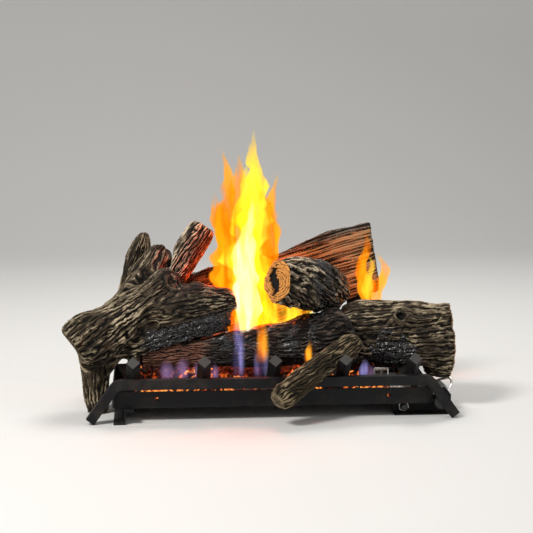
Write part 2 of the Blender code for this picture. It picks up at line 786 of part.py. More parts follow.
def build_knob(back):
    """The fluted knob: a ribbed skirt, a chamfered face with a pointer groove, and the bore of its stem."""
    points = 4 * knob_ribs
    rings = []
    chamfer = knob_radius / 10
    rim = knob_length - chamfer
    for along, radius in ((0, knob_radius), (rim, knob_radius), (knob_length, knob_radius - chamfer)):
        ring = []
        for i in range(points):
            angle = 2 * math.pi * i / points
            reach = radius - (knob_rib_depth if i % 4 in (0, 3) else 0)
            aside = reach * math.cos(angle)
            ring.append(Vector((knob_x + aside, back - along, knob_height + reach * math.sin(angle))))
        rings.append(ring)
    knob = add_object("control_knob", rings_to_solid(rings), black_plastic)
    bore_end = (knob_x, back - knob_bore_depth, knob_height)
    bore = rod((knob_x, back + overrun, knob_height), bore_end, stem_radius + gap, 16)
    face = back - knob_length
    width = knob_pointer_depth
    pointer = block((knob_x - width, face - overrun, knob_height + knob_radius / 4),
                    (knob_x + width, face + knob_pointer_depth, knob_height + knob_radius + overrun))
    pierced(knob, [bore, pointer])


def build_regulator():
    """The round pressure regulator behind the valve, with its cap on top and the gas inlet at the back."""
    middle_x = valve_left_x + regulator_radius + gap
    middle_y = valve_front_y + valve_length + gap + regulator_offset_y
    low = regulator_low
    waist = regulator_radius - regulator_flange
    mid = regulator_height / 2
    flange = regulator_flange / 2
    profile = ((0, waist), (mid - flange, waist), (mid - flange, regulator_radius),
               (mid + flange, regulator_radius), (mid + flange, waist),
               (regulator_height, waist - regulator_flange))
    shell = turned((middle_x, middle_y, low), (0, 0, 1), profile, 24)
    body = add_object("regulator_body", shell, cast_aluminium)
    link_front = (middle_x, valve_front_y + valve_length + gap, low + mid / 2)
    link = rod(link_front, (middle_x, middle_y, low + mid / 2), inlet_radius - regulator_flange, 12)
    foot = rod((middle_x, middle_y, 0), (middle_x, middle_y, low + overrun), inlet_radius, 12)
    combine(body, [add_object("link", link), add_object("foot", foot)], "UNION")
    round_off(body)
    cap_base = (middle_x, middle_y, low + regulator_height + gap)
    profile = ((0, regulator_cap_radius), (regulator_cap_height / 2, regulator_cap_radius),
               (regulator_cap_height, regulator_cap_radius - regulator_flange))
    round_off(add_object("regulator_cap", turned(cap_base, (0, 0, 1), profile, 12), black_plastic))
    face_y = middle_y + regulator_radius + gap
    height = low + mid / 2
    profile = ((0, inlet_hex_radius), (inlet_hex_length, inlet_hex_radius))
    seat = add_object("inlet_fitting", turned((middle_x, face_y, height), (0, 1, 0), profile, 6), brass)
    flare_start = (middle_x, face_y + inlet_hex_length - overrun, height)
    flare = ((0, inlet_radius), (inlet_length - inlet_hex_length, inlet_radius),
             (inlet_length - inlet_hex_length + overrun, inlet_radius - regulator_flange / 2))
    combine(seat, [add_object("flare", turned(flare_start, (0, 1, 0), flare, 14))], "UNION")
    bore_start = (middle_x, face_y + inlet_hex_length / 2, height)
    pierced(seat, [rod(bore_start, (middle_x, face_y + 2 * inlet_length, height), inlet_bore, 12)])


# Pilot burner
def build_pilot():
    """The pilot's bracket on the pan's floor, with its hood, flame probe, spark electrode and gas tube."""
    floor = pan_floor + gap
    half = pilot_width / 2
    back = pilot_y + pilot_shelf_depth / 2
    front = pilot_y - pilot_shelf_depth / 2
    shelf = floor + pilot_shelf_height
    inner = back - pilot_sheet
    toe = back + pilot_foot
    section = [(front, shelf), (back, shelf), (back, floor + pilot_sheet), (toe, floor + pilot_sheet)]
    section += [(toe, floor), (inner, floor), (inner, shelf - pilot_sheet), (front, shelf - pilot_sheet)]
    bracket = extruded([(pilot_x - half, y, z) for y, z in section], (pilot_width, 0, 0))
    add_object("pilot_bracket", bracket, zinc_steel)
    top = shelf + gap
    hood_mouth = hood_radius * 3 / 4
    hood_profile = ((0, hood_radius), (hood_height / 2, hood_radius), (hood_height * 2 / 3, hood_mouth),
                    (hood_height, hood_mouth))
    hood_shape = turned((pilot_x, pilot_y, top), (0, 0, 1), hood_profile, 12)
    hood = add_object("pilot_hood", hood_shape, burner_steel)
    slot = block((pilot_x - hood_radius / 3, pilot_y - 2 * hood_radius, top + hood_height * 3 / 4),
                 (pilot_x + hood_radius / 3, pilot_y, top + hood_height + overrun))
    pierced(hood, [slot])
    probe_x = pilot_x - pilot_pitch
    sleeve = probe_radius * 3 / 2
    probe = ((0, sleeve), (probe_height / 3, sleeve), (probe_height / 3, probe_radius),
             (probe_height - probe_radius, probe_radius), (probe_height, probe_radius / 3))
    round_off(add_object("thermocouple", turned((probe_x, pilot_y, top), (0, 0, 1), probe, 12), zinc_steel))
    electrode_x = pilot_x + pilot_pitch
    wire = electrode_radius / 3
    glazed = electrode_height * 3 / 4
    tip = electrode_height * 5 / 4
    stick = ((0, electrode_radius), (glazed, electrode_radius), (glazed, wire), (tip, wire))
    electrode = turned((electrode_x, pilot_y, top), (0, 0, 1), stick, 10)
    round_off(add_object("spark_electrode", electrode, white_ceramic))
    build_pilot_tube(floor, back)


def build_pilot_tube(floor, back):
    """Soft aluminium tube from the valve's side, out past the right log, and back through the pan's wall."""
    valve_side = valve_left_x + valve_width + 2 * gap
    port_y = valve_front_y + valve_length * 3 / 4
    port_height = valve_low + valve_height / 2
    under_log = right_log_underside - pilot_tube_radius - 2 * gap
    level = pilot_tube_wall_height
    rest_height = floor + pilot_sheet + pilot_tube_radius + gap
    points = [
        (valve_side, port_y, port_height),
        (valve_side + 3 * pilot_tube_radius, port_y, port_height),
        (pilot_tube_outer_x, port_y + 5 * pilot_tube_radius, (port_height + under_log) / 2),
        (pilot_tube_outer_x, (port_y + pilot_tube_wall_y) / 2, under_log),
        (pilot_tube_outer_x - 6 * pilot_tube_radius, pilot_tube_wall_y - pilot_tube_radius,
         (under_log + level) / 2),
        (pan_half_width + 3 * pilot_tube_radius, pilot_tube_wall_y, level),
        (pan_half_width - 3 * pilot_tube_radius, pilot_tube_wall_y, level),
        (manifold_x - manifold_side, pilot_tube_wall_y, level),
        (pilot_x + pilot_width / 2, back + pilot_foot + manifold_side, rest_height),
        (pilot_x, back + pilot_foot / 2, rest_height),
        (pilot_x, back + 2 * gap, rest_height),
    ]
    curve = bpy.data.curves.new("pilot_tube", "CURVE")
    curve.dimensions = "3D"
    curve.bevel_depth = pilot_tube_radius
    curve.bevel_resolution = 2
    curve.use_fill_caps = True
    route = smooth_route(points, 3)
    spline = curve.splines.new("POLY")
    spline.points.add(len(route) - 1)
    for point, place in zip(spline.points, route):
        point.co = (*place, 1)
    curve.materials.append(bright_aluminium)
    tube = bpy.data.objects.new("pilot_tube", curve)
    tube.parent = log_set
    bpy.context.scene.collection.objects.link(tube)


# Logs
class Limb:
    """A tapered, knotted length of wood. Each row of its shares is (along, aside, above, thickness): along is
    a share of its length, and the others are shares of its radius."""

    def __init__(self, start, end, radius, rows_shares, seed, ridged=False, rests_on=None, upright=False):
        self.start = Vector(start)
        self.end = Vector(end)
        self.radius = radius
        self.rows_shares = rows_shares
        self.seed = seed
        self.ridges = round(2 * math.pi * radius / ridge_pitch) if ridged else 0
        self.wide_share = 1.0
        self.tall_share = 1.0
        self.rests_on = rests_on
        self.upright = upright

    def frame(self):
        """Its way from start to end, and the ways aside of and above it. An upright limb's side is +Y."""
        way = (self.end - self.start).normalized()
        aside = Vector((0, 1, 0)) if self.upright else way.cross(Vector((0, 0, 1))).normalized()
        aside = (aside - way * aside.dot(way)).normalized()
        return way, aside, aside.cross(way)

    def shape_at(self, share):
        """The row of shares at a place along the limb, eased between the rows given."""
        for low, high in zip(self.rows_shares, self.rows_shares[1:]):
            if share <= high[0]:
                t = (share - low[0]) / (high[0] - low[0])
                t = t * t * (3 - 2 * t)
                return [a + (b - a) * t for a, b in zip(low, high)]
        return self.rows_shares[-1]

    def swelling(self, angle, share, number, envelope):
        """How far the bark stands out at a point of a ring: on the ridges and valleys of a big log, which lie
        at every other point, or on the gentle waves of a small one."""
        if not self.ridges:
            return self.radius * math.sin(bark_waves * angle + self.seed + 2 * share) * bark_share
        if envelope:
            return ridge_depth / 2
        lively = noise.noise(Vector((number, self.seed, 4 * share)))
        return (1 if number % 2 else -1) * (1 - abs(lively)) * ridge_depth / 2

    def solid(self, margin=0.0, envelope=False):
        """The limb's skin as a bmesh. A margin makes it that much thicker, for the seat that it fits, and an
        envelope has no valleys, so that what is seated on it lifts off."""
        span = self.end - self.start
        way, aside, above = self.frame()
        steps = max(4, round(span.length / log_step))
        points = 2 * self.ridges or ring_points
        rings = []
        for i in range(steps + 1):
            share = i / steps
            _, shift, lift, thick = self.shape_at(share)
            centre = self.start + span * share + (aside * shift + above * lift) * self.radius
            reach = self.radius * thick
            if self.rests_on is not None:
                centre.z = self.rests_on + reach
            if i in (0, steps):
                centre += way * margin * (1 if i else -1)
            ring = []
            for j in range(points):
                wander = noise.noise(Vector((3 * share, self.seed, 0))) if self.ridges else 0
                angle = 2 * math.pi * j / points + ridge_wander * wander
                run = share * span.length / self.radius
                spot = Vector((math.cos(angle), math.sin(angle), run + self.seed))
                rough = noise.noise(spot * lump_pitch) * 2 * bark_share
                size = reach * (1 + rough) + thick * self.swelling(angle, share, j, envelope) + margin
                wide = math.cos(angle) * self.wide_share
                tall = math.sin(angle) * self.tall_share
                ring.append(centre + (aside * wide + above * tall) * size)
            rings.append(ring)
        return rings_to_solid(rings, in_triangles=True)


def on_grate(x, y, rise):
    """A place over the grate, its height counted from the upper edges of the cross bars."""
    return Vector((x, y, grate_top + rise))


rear_log_shares = ((0.0, 0.0, 0.0, 0.85), (0.05, 0.0, 0.0, 1.0), (0.25, 0.0, 0.0, 0.95),
                   (0.46, 0.0, -0.06, 0.84), (0.68, 0.0, 0.0, 0.92), (1.0, 0.0, 0.0, rear_log_right_share))
trunk_shares = ((0.0, 0.0, 0.0, 0.9), (0.12, 0.0, 0.0, 1.02), (0.45, 0.0, -0.22, 0.9), (0.8, 0.0, -0.25, 0.7),
                (0.93, 0.0, 0.0, 0.52), (1.0, 0.0, 0.0, 0.3))
root_shares = ((0.0, 0.0, 0.0, 1.05), (0.5, 0.0, 0.0, 0.98), (1.0, 0.0, 0.0, 0.68))
branch_shares = ((0.0, 0.0, 0.0, 1.0), (0.5, 0.0, 0.35, 0.82), (0.85, 0.0, 0.25, 0.6), (1.0, 0.0, 0.0, 0.5))
belly_shares = ((0.0, 0.0, 0.0, 0.9), (0.3, 0.0, 0.0, 0.92), (0.6, 0.0, 0.0, 0.8), (0.85, 0.0, 0.0, 0.72),
                (1.0, 0.0, 0.0, 0.5))
back_branch_shares = ((0.0, 0.0, 0.0, 1.1), (0.6, 0.0, 0.0, 0.95), (0.9, 0.0, 0.0, 0.8),
                      (1.0, 0.0, 0.0, 0.55))
slim_shares = ((0.0, 0.0, 0.0, 1.1), (0.35, 0.1, -0.15, 1.15), (0.6, 0.0, -0.1, 1.12), (0.85, 0.0, 0.05, 0.9),
               (0.97, 0.0, 0.0, 0.6), (1.0, 0.0, 0.0, 0.35))
top_branch_shares = ((0.0, 0.0, 0.0, 0.85), (0.2, 0.0, 0.0, 1.0), (0.75, 0.0, 0.1, 1.0), (1.0, 0.0, 0.1, 0.8))
right_log_shares = ((0.0, 0.0, 0.0, 0.72), (0.1, 0.0, 0.0, 0.9), (0.4, 0.0, 0.02, 1.0), (1.0, 0.0, 0.0, 0.98))
middle_log_shares = ((0.0, 0.0, 0.0, 0.4), (0.1, 0.0, 0.0, 0.47), (0.28, 0.0, 0.0, 0.47),
                     (0.41, 0.0, 0.0, 0.62), (0.62, 0.0, 0.0, 0.74), (0.81, 0.0, 0.0, 0.9),
                     (0.91, 0.0, 0.0, 0.98), (0.975, 0.0, 0.0, 0.8), (1.0, 0.0, 0.0, 0.5))
split_log_shares = ((0.0, 0.0, 0.0, 0.95), (0.08, 0.0, 0.0, 1.02), (0.35, 0.0, 0.2, 1.2),
                    (0.65, 0.0, 0.22, 1.2), (0.9, 0.0, 0.12, 0.95), (1.0, 0.0, 0.0, 0.62))
twig_shares = ((0.0, 0.0, 0.0, 0.8), (0.06, 0.0, 0.0, 1.02), (0.5, 0.0, 0.0, 1.0), (0.9, 0.0, 0.0, 0.98),
               (1.0, 0.0, 0.0, 0.72))
split_wide_share = 0.85
split_tall_share = 1.12


def front_log_limbs():
    """The knee: a trunk from the hanging foot up to the knuckle, its root, and its three branches."""
    foot = on_grate(-grate_half_width - foot_overhang, front_log_foot_y, front_log_foot_rise)
    root_top = foot + Vector(root_top_from_foot)
    toe = foot + Vector((*root_toe_from_foot, 0))
    back_root = on_grate(*back_branch_root)
    return [
        Limb(foot, on_grate(*front_log_knuckle), front_log_radius, trunk_shares, 1.0, True),
        Limb(root_top, (toe.x, toe.y, -overrun), root_radius, root_shares, 2.0, upright=True),
        Limb(on_grate(*branch_root), on_grate(*branch_tip), branch_radius, branch_shares, 3.0, True),
        Limb(on_grate(*belly_root), on_grate(*belly_tip), belly_radius, belly_shares, 4.0, True),
        Limb(back_root, on_grate(*back_branch_tip), back_branch_radius, back_branch_shares, 5.0, True),
    ]


def slim_log_limb():
    """The slim log stands on the grate's rear left corner and leans over it."""
    foot = Vector((-grate_half_width - slim_log_overhang, slim_log_foot_y, bar_top - overrun))
    lean_x, lean_y = slim_log_top_from_foot
    top = on_grate(foot.x + lean_x, foot.y + lean_y, slim_log_top_rise)
    return Limb(foot, top, slim_log_radius, slim_shares, 6.0)


def top_branch_limb():
    foot = on_grate(*top_branch_foot)
    return Limb(foot, on_grate(*top_branch_tip), top_branch_radius, top_branch_shares, 7.0)


def right_log_limb():
    """The right log runs past its saw cut, so that the cut face is flat."""
    end = on_grate(grate_half_width + right_overhang + right_log_waste, right_log_end_y, right_log_end_rise)
    return Limb(on_grate(*right_log_left), end, right_log_radius, right_log_shares, 8.0, True)


def middle_log_limb():
    left = (*middle_log_left, grate_top)
    right = (*middle_log_right, grate_top)
    return Limb(left, right, middle_log_radius, middle_log_shares, 9.0, rests_on=grate_top - log_seat)


def split_log_limb():
    near = on_grate(*split_log_near, split_log_near_rise)
    far = on_grate(*split_log_far, split_log_far_rise)
    limb = Limb(near, far, split_log_radius, split_log_shares, 10.0)
    limb.wide_share = split_wide_share
    limb.tall_share = split_tall_share
    return limb


def rear_log_limb():
    left = (*rear_log_left, rear_log_axis_height(rear_log_left[0]))
    right = (*rear_log_right, rear_log_axis_height(rear_log_right[0]))
    return Limb(left, right, rear_log_radius, rear_log_shares, 11.0, True)


def twig_limb():
    """The front twig rises over the front bar, so its middle bows up to clear it."""
    low = on_grate(*twig_low)
    high = on_grate(*twig_high)
    crossing = Vector((*twig_crossing, bar_top + twig_radius - log_seat))
    share = (crossing.x - low.x) / (high.x - low.x)
    chord = low + (high - low) * share
    _, aside, above = Limb(low, high, twig_radius, twig_shares, 0).frame()
    off = (crossing - chord) / twig_radius
    rows = []
    for along, _, _, thick in twig_shares:
        bow = 4 * along * (1 - along)
        rows.append((along, off.dot(aside) * bow, off.dot(above) * bow, thick))
    return Limb(low, high, twig_radius, rows, 12.0)


def cut_log(piece, limbs=(), cutters=(), lifts=False):
    """Cuts a log's seats: on the limbs of other logs and on the other solids, all with the gap. The seats of
    a log that lifts off have no ridges to catch on."""
    solids = [limb.solid(gap, envelope=lifts) for limb in limbs] + list(cutters)
    seats = [add_object("seat", solid) for solid in solids]
    return round_off(combine(piece, seats, "DIFFERENCE"), math.radians(50))


def under_grate(side_sign, overhang_underside):
    """The space below a front log: up to the bars over the grate, and to its underside beyond the pan."""
    edge = side_sign * (pan_half_width + overhang_clearance)
    far = side_sign * (grate_half_width + 2 * foot_overhang)
    top = grate_top - log_seat
    deep = -grate_top
    section = [(0, deep), (0, top), (edge, top), (edge, overhang_underside)]
    section += [(far, overhang_underside), (far, deep)]
    start = front_bar_y - bar_side
    return extruded([(x, start, z) for x, z in section], (0, rear_bar_y + bar_side - start, 0))


def grooves():
    """A groove for each cross bar that a log lies on."""
    return [cross_bar(x, gap) for x in cross_bars_x]


def sunk(shape):
    """The space that a solid sweeps as it sinks to the floor. A log that is cut with it lifts straight up."""
    points = [v.co.copy() for v in shape.verts]
    shape.free()
    space = bmesh.new()
    for point in points:
        space.verts.new(point)
        space.verts.new(point - Vector((0, 0, grate_top)))
    bmesh.ops.convex_hull(space, input=space.verts)
    bmesh.ops.delete(space, geom=[v for v in space.verts if not v.link_faces], context="VERTS")
    return space


def build_logs():
    """The eight logs, each cut to sit on the grate and on the logs below it."""
    far_left = -grate_half_width - 2 * foot_overhang

    middle = middle_log_limb()
    right = right_log_limb()
    knee = front_log_limbs()
    slim = slim_log_limb()
    top = top_branch_limb()
    split = split_log_limb()
    rear = rear_log_limb()

    log = add_object("right_front_log", right.solid(), bark)
    combine(log, [add_object("knot", knot_solid(right, False))], "UNION")
    sawn_off = saw_cut(grate_half_width + right_overhang, grate_top, 0)
    cut_log(log, (), [knot_solid(right, True), under_grate(1, right_log_underside), sawn_off, *grooves()])

    log = add_object("middle_charred_log", middle.solid(), char)
    cut_log(log, [right], grooves())

    log = add_object("left_front_log", knee[0].solid(), bark)
    combine(log, [add_object("limb", limb.solid()) for limb in knee[1:]], "UNION")
    cut_log(log, [middle], [under_grate(-1, 0), *grooves()])

    log = add_object("left_rear_log", slim.solid(), bark)
    under_foot = block((far_left, front_bar_y, -overrun), (0, rear_bar_y + 2 * bar_side, bar_top + gap))
    cut_log(log, knee, [under_foot, *grooves()])

    log = add_object("rear_log", rear.solid(), bark)
    sawn_off = saw_cut(*rear_log_saw, rear_log_saw_lean)
    posts = [rear_log_post(x, gap) for x in post_places_x]
    cut_log(log, [*knee, slim], [split_cut(rear, 0, 0), sawn_off, *posts, *grooves()])

    log = add_object("top_branch", top.solid(), bark)
    split_off = split_cut(top, top_branch_split_turn, top_branch_split_share)
    cut_log(log, [*knee, slim, rear], [split_off], lifts=True)

    log = add_object("centre_split_log", split.solid(), bark)
    cut_log(log, [middle, right], lifts=True)

    log = add_object("front_twig", twig_limb().solid(), bark)
    side = bar_side + 2 * gap
    ends = [(x, front_bar_y, bar_axis_height) for x in (-grate_half_width, grate_half_width)]
    _, bend, tip = prong_route()
    prongs = [square_bar(((x, *bend), (x, *tip)), side, roll=math.pi / 4) for x in cross_bars_x]
    below = [middle.solid(gap), square_bar(ends, side), *prongs]
    cut_log(log, [right], [sunk(solid) for solid in below], lifts=True)


def knot_solid(limb, hole):
    """The raised rim of a broken-off branch on the right log, or the hole in it."""
    _, aside, above = limb.frame()
    out = aside * math.cos(knot_turn) + above * math.sin(knot_turn)
    centre = limb.start + (limb.end - limb.start) * knot_along_share
    surface = limb.radius
    if hole:
        start = surface - knot_depth
        profile = ((start, knot_hole_radius * 2 / 3), (surface + 2 * knot_height, knot_hole_radius))
    else:
        low = surface - knot_height
        profile = ((low, knot_radius * 3 / 2), (surface + knot_height / 2, knot_radius),
                   (surface + knot_height, knot_radius * 3 / 4))
    return turned(centre, out, profile, 12)


def split_cut(limb, turn, offset_share):
    """All the space beyond a plane along a limb. The plane is turned down from the limb's side, and its
    offset from the axis is a share of the limb's radius."""
    way, aside, above = limb.frame()
    out = aside * math.cos(turn) - above * math.sin(turn)
    far = (limb.end - limb.start).length
    shape = block((-far, -far, offset_share * limb.radius), (2 * far, far, far))
    turn_to_limb = Matrix((way, out.cross(way), out)).transposed().to_4x4()
    bmesh.ops.transform(shape, matrix=turn_to_limb, verts=shape.verts)
    bmesh.ops.translate(shape, vec=limb.start, verts=shape.verts)
    return shape


def saw_cut(x, z, lean):
    """All the space to the right of a saw cut through a place. A negative lean is to the left."""
    far = grate_half_width
    shape = block((0, -far, -far), (far, far, far))
    bmesh.ops.transform(shape, matrix=Matrix.Rotation(lean, 4, "Y"), verts=shape.verts)
    bmesh.ops.translate(shape, vec=(x, 0, z), verts=shape.verts)
    return shape


build_grate()
build_pan()
build_support_plates()
build_gas_train()
build_controls()
build_pilot()
build_logs()
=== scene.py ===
import itertools
import math

import bmesh
import bpy
import numpy as np
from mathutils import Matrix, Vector, noise


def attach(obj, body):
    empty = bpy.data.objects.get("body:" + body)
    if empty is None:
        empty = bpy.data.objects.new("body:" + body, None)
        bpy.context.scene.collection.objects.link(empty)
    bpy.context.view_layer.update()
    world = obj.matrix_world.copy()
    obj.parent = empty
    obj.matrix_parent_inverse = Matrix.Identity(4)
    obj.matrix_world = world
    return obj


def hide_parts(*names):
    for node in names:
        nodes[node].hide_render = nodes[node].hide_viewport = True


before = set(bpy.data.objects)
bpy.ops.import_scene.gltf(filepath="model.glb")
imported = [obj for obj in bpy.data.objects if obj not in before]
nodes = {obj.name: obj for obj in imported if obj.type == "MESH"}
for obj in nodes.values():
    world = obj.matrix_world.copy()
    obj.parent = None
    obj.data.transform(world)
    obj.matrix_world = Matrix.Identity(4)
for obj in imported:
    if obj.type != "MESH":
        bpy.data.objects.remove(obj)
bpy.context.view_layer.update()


# Hearth, wall, studio lamps and camera. The log set stands on a pale slab with a pale wall far behind it,
# under broad, soft lamps. None of these is part of the set, and the light keeps a colour about as written.
def add_node(tree, kind, values=(), **settings):
    """Adds a shader node, with its settings and with its sockets set or linked."""
    node = tree.nodes.new("ShaderNode" + kind)
    for name, value in settings.items():
        setattr(node, name, value)
    for name, value in dict(values).items():
        if isinstance(value, bpy.types.NodeSocket):
            tree.links.new(value, node.inputs[name])
        else:
            node.inputs[name].default_value = value
    return node


def colour_mix(tree, share, first, second, how="MIX"):
    """Mixes two colours, or two numbers, by a share."""
    mix = add_node(tree, "MixRGB", {"Fac": share, "Color1": first, "Color2": second}, blend_type=how)
    return mix.outputs[0]


def calculated(tree, operation, first, second):
    """Two numbers put together by an operation."""
    return add_node(tree, "Math", {0: first, 1: second}, operation=operation).outputs[0]


def new_finish(name):
    """A new material with its node tree, its shader and its output."""
    material = bpy.data.materials.new(name)
    material.use_nodes = True
    tree = material.node_tree
    return material, tree, tree.nodes["Principled BSDF"], tree.nodes["Material Output"]


def new_piece(name, mesh, material):
    """A smooth piece made of a mesh, linked into the scene."""
    piece = bpy.data.objects.new(name, mesh)
    bpy.context.scene.collection.objects.link(piece)
    mesh.materials.clear()
    mesh.materials.append(material)
    mesh.polygons.foreach_set("use_smooth", np.ones(len(mesh.polygons), bool))
    return piece


hearth_half_width = 4.0
hearth_front_y = -4.0
wall_y = 3.2
wall_height = 4.0
wall_bend = 1.2
bend_steps = 12
slab_colour = (0.80, 0.79, 0.77, 1)
slab_patch_colour = (0.70, 0.69, 0.67, 1)

profile = [(hearth_front_y, 0.0), (wall_y - wall_bend, 0.0)]
for step in range(1, bend_steps + 1):
    angle = math.pi / 2 * step / bend_steps
    profile.append((wall_y - wall_bend + wall_bend * math.sin(angle), wall_bend * (1 - math.cos(angle))))
profile.append((wall_y, wall_height))
hearth_mesh = bpy.data.meshes.new("hearth")
hearth_mesh.from_pydata(
    [(x, y, z) for y, z in profile for x in (-hearth_half_width, hearth_half_width)],
    [],
    [(2 * i, 2 * i + 1, 2 * i + 3, 2 * i + 2) for i in range(len(profile) - 1)],
)
slab, tree, shader, _ = new_finish("hearth slab")
cloud = add_node(tree, "TexNoise", {"Scale": 1.5, "Detail": 3.0}).outputs["Fac"]
tree.links.new(colour_mix(tree, cloud, slab_colour, slab_patch_colour), shader.inputs["Base Color"])
shader.inputs["Roughness"].default_value = 0.85
shader.inputs["Specular IOR Level"].default_value = 0.2
hearth = new_piece("hearth_slab", hearth_mesh, slab)

world = bpy.data.worlds.new("studio")
bpy.context.scene.world = world
world.use_nodes = True
sky = world.node_tree
lighting_grey = (0.31, 0.31, 0.31, 1)
seen_grey = (0.52, 0.515, 0.505, 1)
rays = add_node(sky, "LightPath").outputs
seen = rays["Is Camera Ray"]
for kind in ("Is Glossy Ray", "Is Transmission Ray"):
    seen = calculated(sky, "MAXIMUM", seen, rays[kind])
background = sky.nodes["Background"].inputs
sky.links.new(colour_mix(sky, seen, lighting_grey, seen_grey), background["Color"])
background["Strength"].default_value = 1.0


def add_lamp(name, place, aim, size, power, colour):
    """A square soft lamp at a place, turned to what it lights."""
    lamp = bpy.data.lights.new(name, "AREA")
    lamp.size = size
    lamp.energy = power
    lamp.color = colour
    holder = bpy.data.objects.new(name, lamp)
    holder.location = place
    holder.rotation_euler = (Vector(aim) - Vector(place)).to_track_quat("-Z", "Y").to_euler()
    bpy.context.scene.collection.objects.link(holder)


add_lamp("key_lamp", place=(-1.3, -1.2, 1.9), aim=(0, 0, 0.12), size=0.6, power=46,
         colour=(1.0, 0.98, 0.95))
add_lamp("fill_lamp", place=(1.9, -1.3, 1.0), aim=(0, 0, 0.10), size=1.3, power=8,
         colour=(0.96, 0.98, 1.0))
add_lamp("top_lamp", place=(0.3, 0.9, 1.9), aim=(0, 0, 0.15), size=0.9, power=20,
         colour=(1.0, 0.99, 0.97))

view_target = Vector((0.0165, 0.0439, 0.2075))
view_way = Vector((0.0865, 0.9888, -0.1219))
view_distance = 2.2
camera = bpy.data.cameras.new("camera")
camera.lens = 96.45
camera.sensor_width = 36
camera_holder = bpy.data.objects.new("camera", camera)
camera_holder.location = view_target - view_way * view_distance
camera_holder.rotation_euler = view_way.to_track_quat("-Z", "Y").to_euler()
bpy.context.scene.collection.objects.link(camera_holder)
bpy.context.scene.camera = camera_holder
bpy.context.scene.view_settings.view_transform = "Standard"


# Finish shared by the grate, the burners and the controls: patches of stain, fine grain, and grey ash on
# what faces up. It is one node group, put into the material of each metal, plastic and ceramic with its own
# colours.
def new_group(name, numbers, colours, outputs):
    """A node group with number inputs, colour inputs and named outputs."""
    group = bpy.data.node_groups.new(name, "ShaderNodeTree")
    for names, kind in ((numbers, "NodeSocketFloat"), (colours, "NodeSocketColor")):
        for socket in names:
            group.interface.new_socket(socket, in_out="INPUT", socket_type=kind)
    for socket, kind in outputs.items():
        group.interface.new_socket(socket, in_out="OUTPUT", socket_type="NodeSocket" + kind)
    start = group.nodes.new("NodeGroupInput")
    end = group.nodes.new("NodeGroupOutput")
    return group, start.outputs, end.inputs


def stepped(tree, value, low, high, to_low=0.0, to_high=1.0):
    """Turns values from low to high smoothly into values from to_low to to_high."""
    step = add_node(tree, "MapRange", {"Value": value, "From Min": low, "From Max": high, "To Min": to_low,
                                       "To Max": to_high}, interpolation_type="SMOOTHSTEP")
    return step.outputs["Result"]


def product(tree, first, second):
    """Two numbers multiplied."""
    return calculated(tree, "MULTIPLY", first, second)


def total(tree, first, second):
    """Two numbers added."""
    return calculated(tree, "ADD", first, second)


def mottle(tree, place, scale, detail, roughness=0.5):
    """Uneven patches from 0 to 1, of so many to a unit of length."""
    values = {"Vector": place, "Scale": scale, "Detail": detail, "Roughness": roughness}
    return add_node(tree, "TexNoise", values).outputs["Fac"]


hearth_wear, given, result = new_group(
    "hearth wear",
    ["Stain Size", "Stain Amount", "Grain Size", "Ash Amount", "Clean Roughness", "Stained Roughness"],
    ["Clean Colour", "Stained Colour", "Ash Colour"],
    {"Colour": "Color", "Roughness": "Float", "Height": "Float"},
)
tree = hearth_wear
clean_level = 0.78
stain_softness = 0.16
ash_scale = 190.0
ash_height = 0.6
place = add_node(tree, "TexCoord").outputs["Object"]
blotch = mottle(tree, place, given["Stain Size"], 6.0, 0.62)
edge = calculated(tree, "SUBTRACT", clean_level, given["Stain Amount"])
stain = stepped(tree, blotch, edge, total(tree, edge, stain_softness))
fine = mottle(tree, place, given["Grain Size"], 4.0, 0.7)
normal = add_node(tree, "NewGeometry").outputs["Normal"]
facing_up = add_node(tree, "SeparateXYZ", {"Vector": normal}).outputs["Z"]
powder = mottle(tree, place, ash_scale, 5.0, 0.75)
lying = product(tree, stepped(tree, facing_up, 0.25, 0.95), stepped(tree, powder, 0.38, 0.66))
ash = product(tree, lying, given["Ash Amount"])
base = colour_mix(tree, stain, given["Clean Colour"], given["Stained Colour"])
base = colour_mix(tree, ash, base, given["Ash Colour"])
rough = colour_mix(tree, stain, given["Clean Roughness"], given["Stained Roughness"])
unevenness = stepped(tree, fine, 0.2, 0.8, -0.06, 0.06)
tree.links.new(base, result["Colour"])
tree.links.new(total(tree, rough, total(tree, unevenness, ash)), result["Roughness"])
tree.links.new(total(tree, fine, product(tree, ash, ash_height)), result["Height"])


def hardware_finish(name, clean, stained, roughness, metallic, stain, grain, ash=0.0):
    """A finish that wears as things in a hearth do. Its roughness is that of clean and of stained patches,
    its stain is the patches' scale and amount, and its grain a scale and a depth."""
    material, tree, shader, _ = new_finish(name)
    own = {
        "Stain Size": stain[0], "Stain Amount": stain[1], "Grain Size": grain[0], "Ash Amount": ash,
        "Clean Roughness": roughness[0], "Stained Roughness": roughness[1],
        "Clean Colour": (*clean, 1), "Stained Colour": (*stained, 1), "Ash Colour": (0.34, 0.32, 0.30, 1),
    }
    wear = add_node(tree, "Group", own, node_tree=hearth_wear).outputs
    bump = add_node(tree, "Bump", {"Height": wear["Height"], "Distance": grain[1], "Strength": 1.0})
    tree.links.new(wear["Colour"], shader.inputs["Base Color"])
    tree.links.new(wear["Roughness"], shader.inputs["Roughness"])
    tree.links.new(bump.outputs["Normal"], shader.inputs["Normal"])
    shader.inputs["Metallic"].default_value = metallic
    return material


def finish_nodes(material, *names):
    """Gives carried-over CAD nodes their material."""
    for name in names:
        mesh = nodes[name].data
        mesh.materials.clear()
        mesh.materials.append(material)


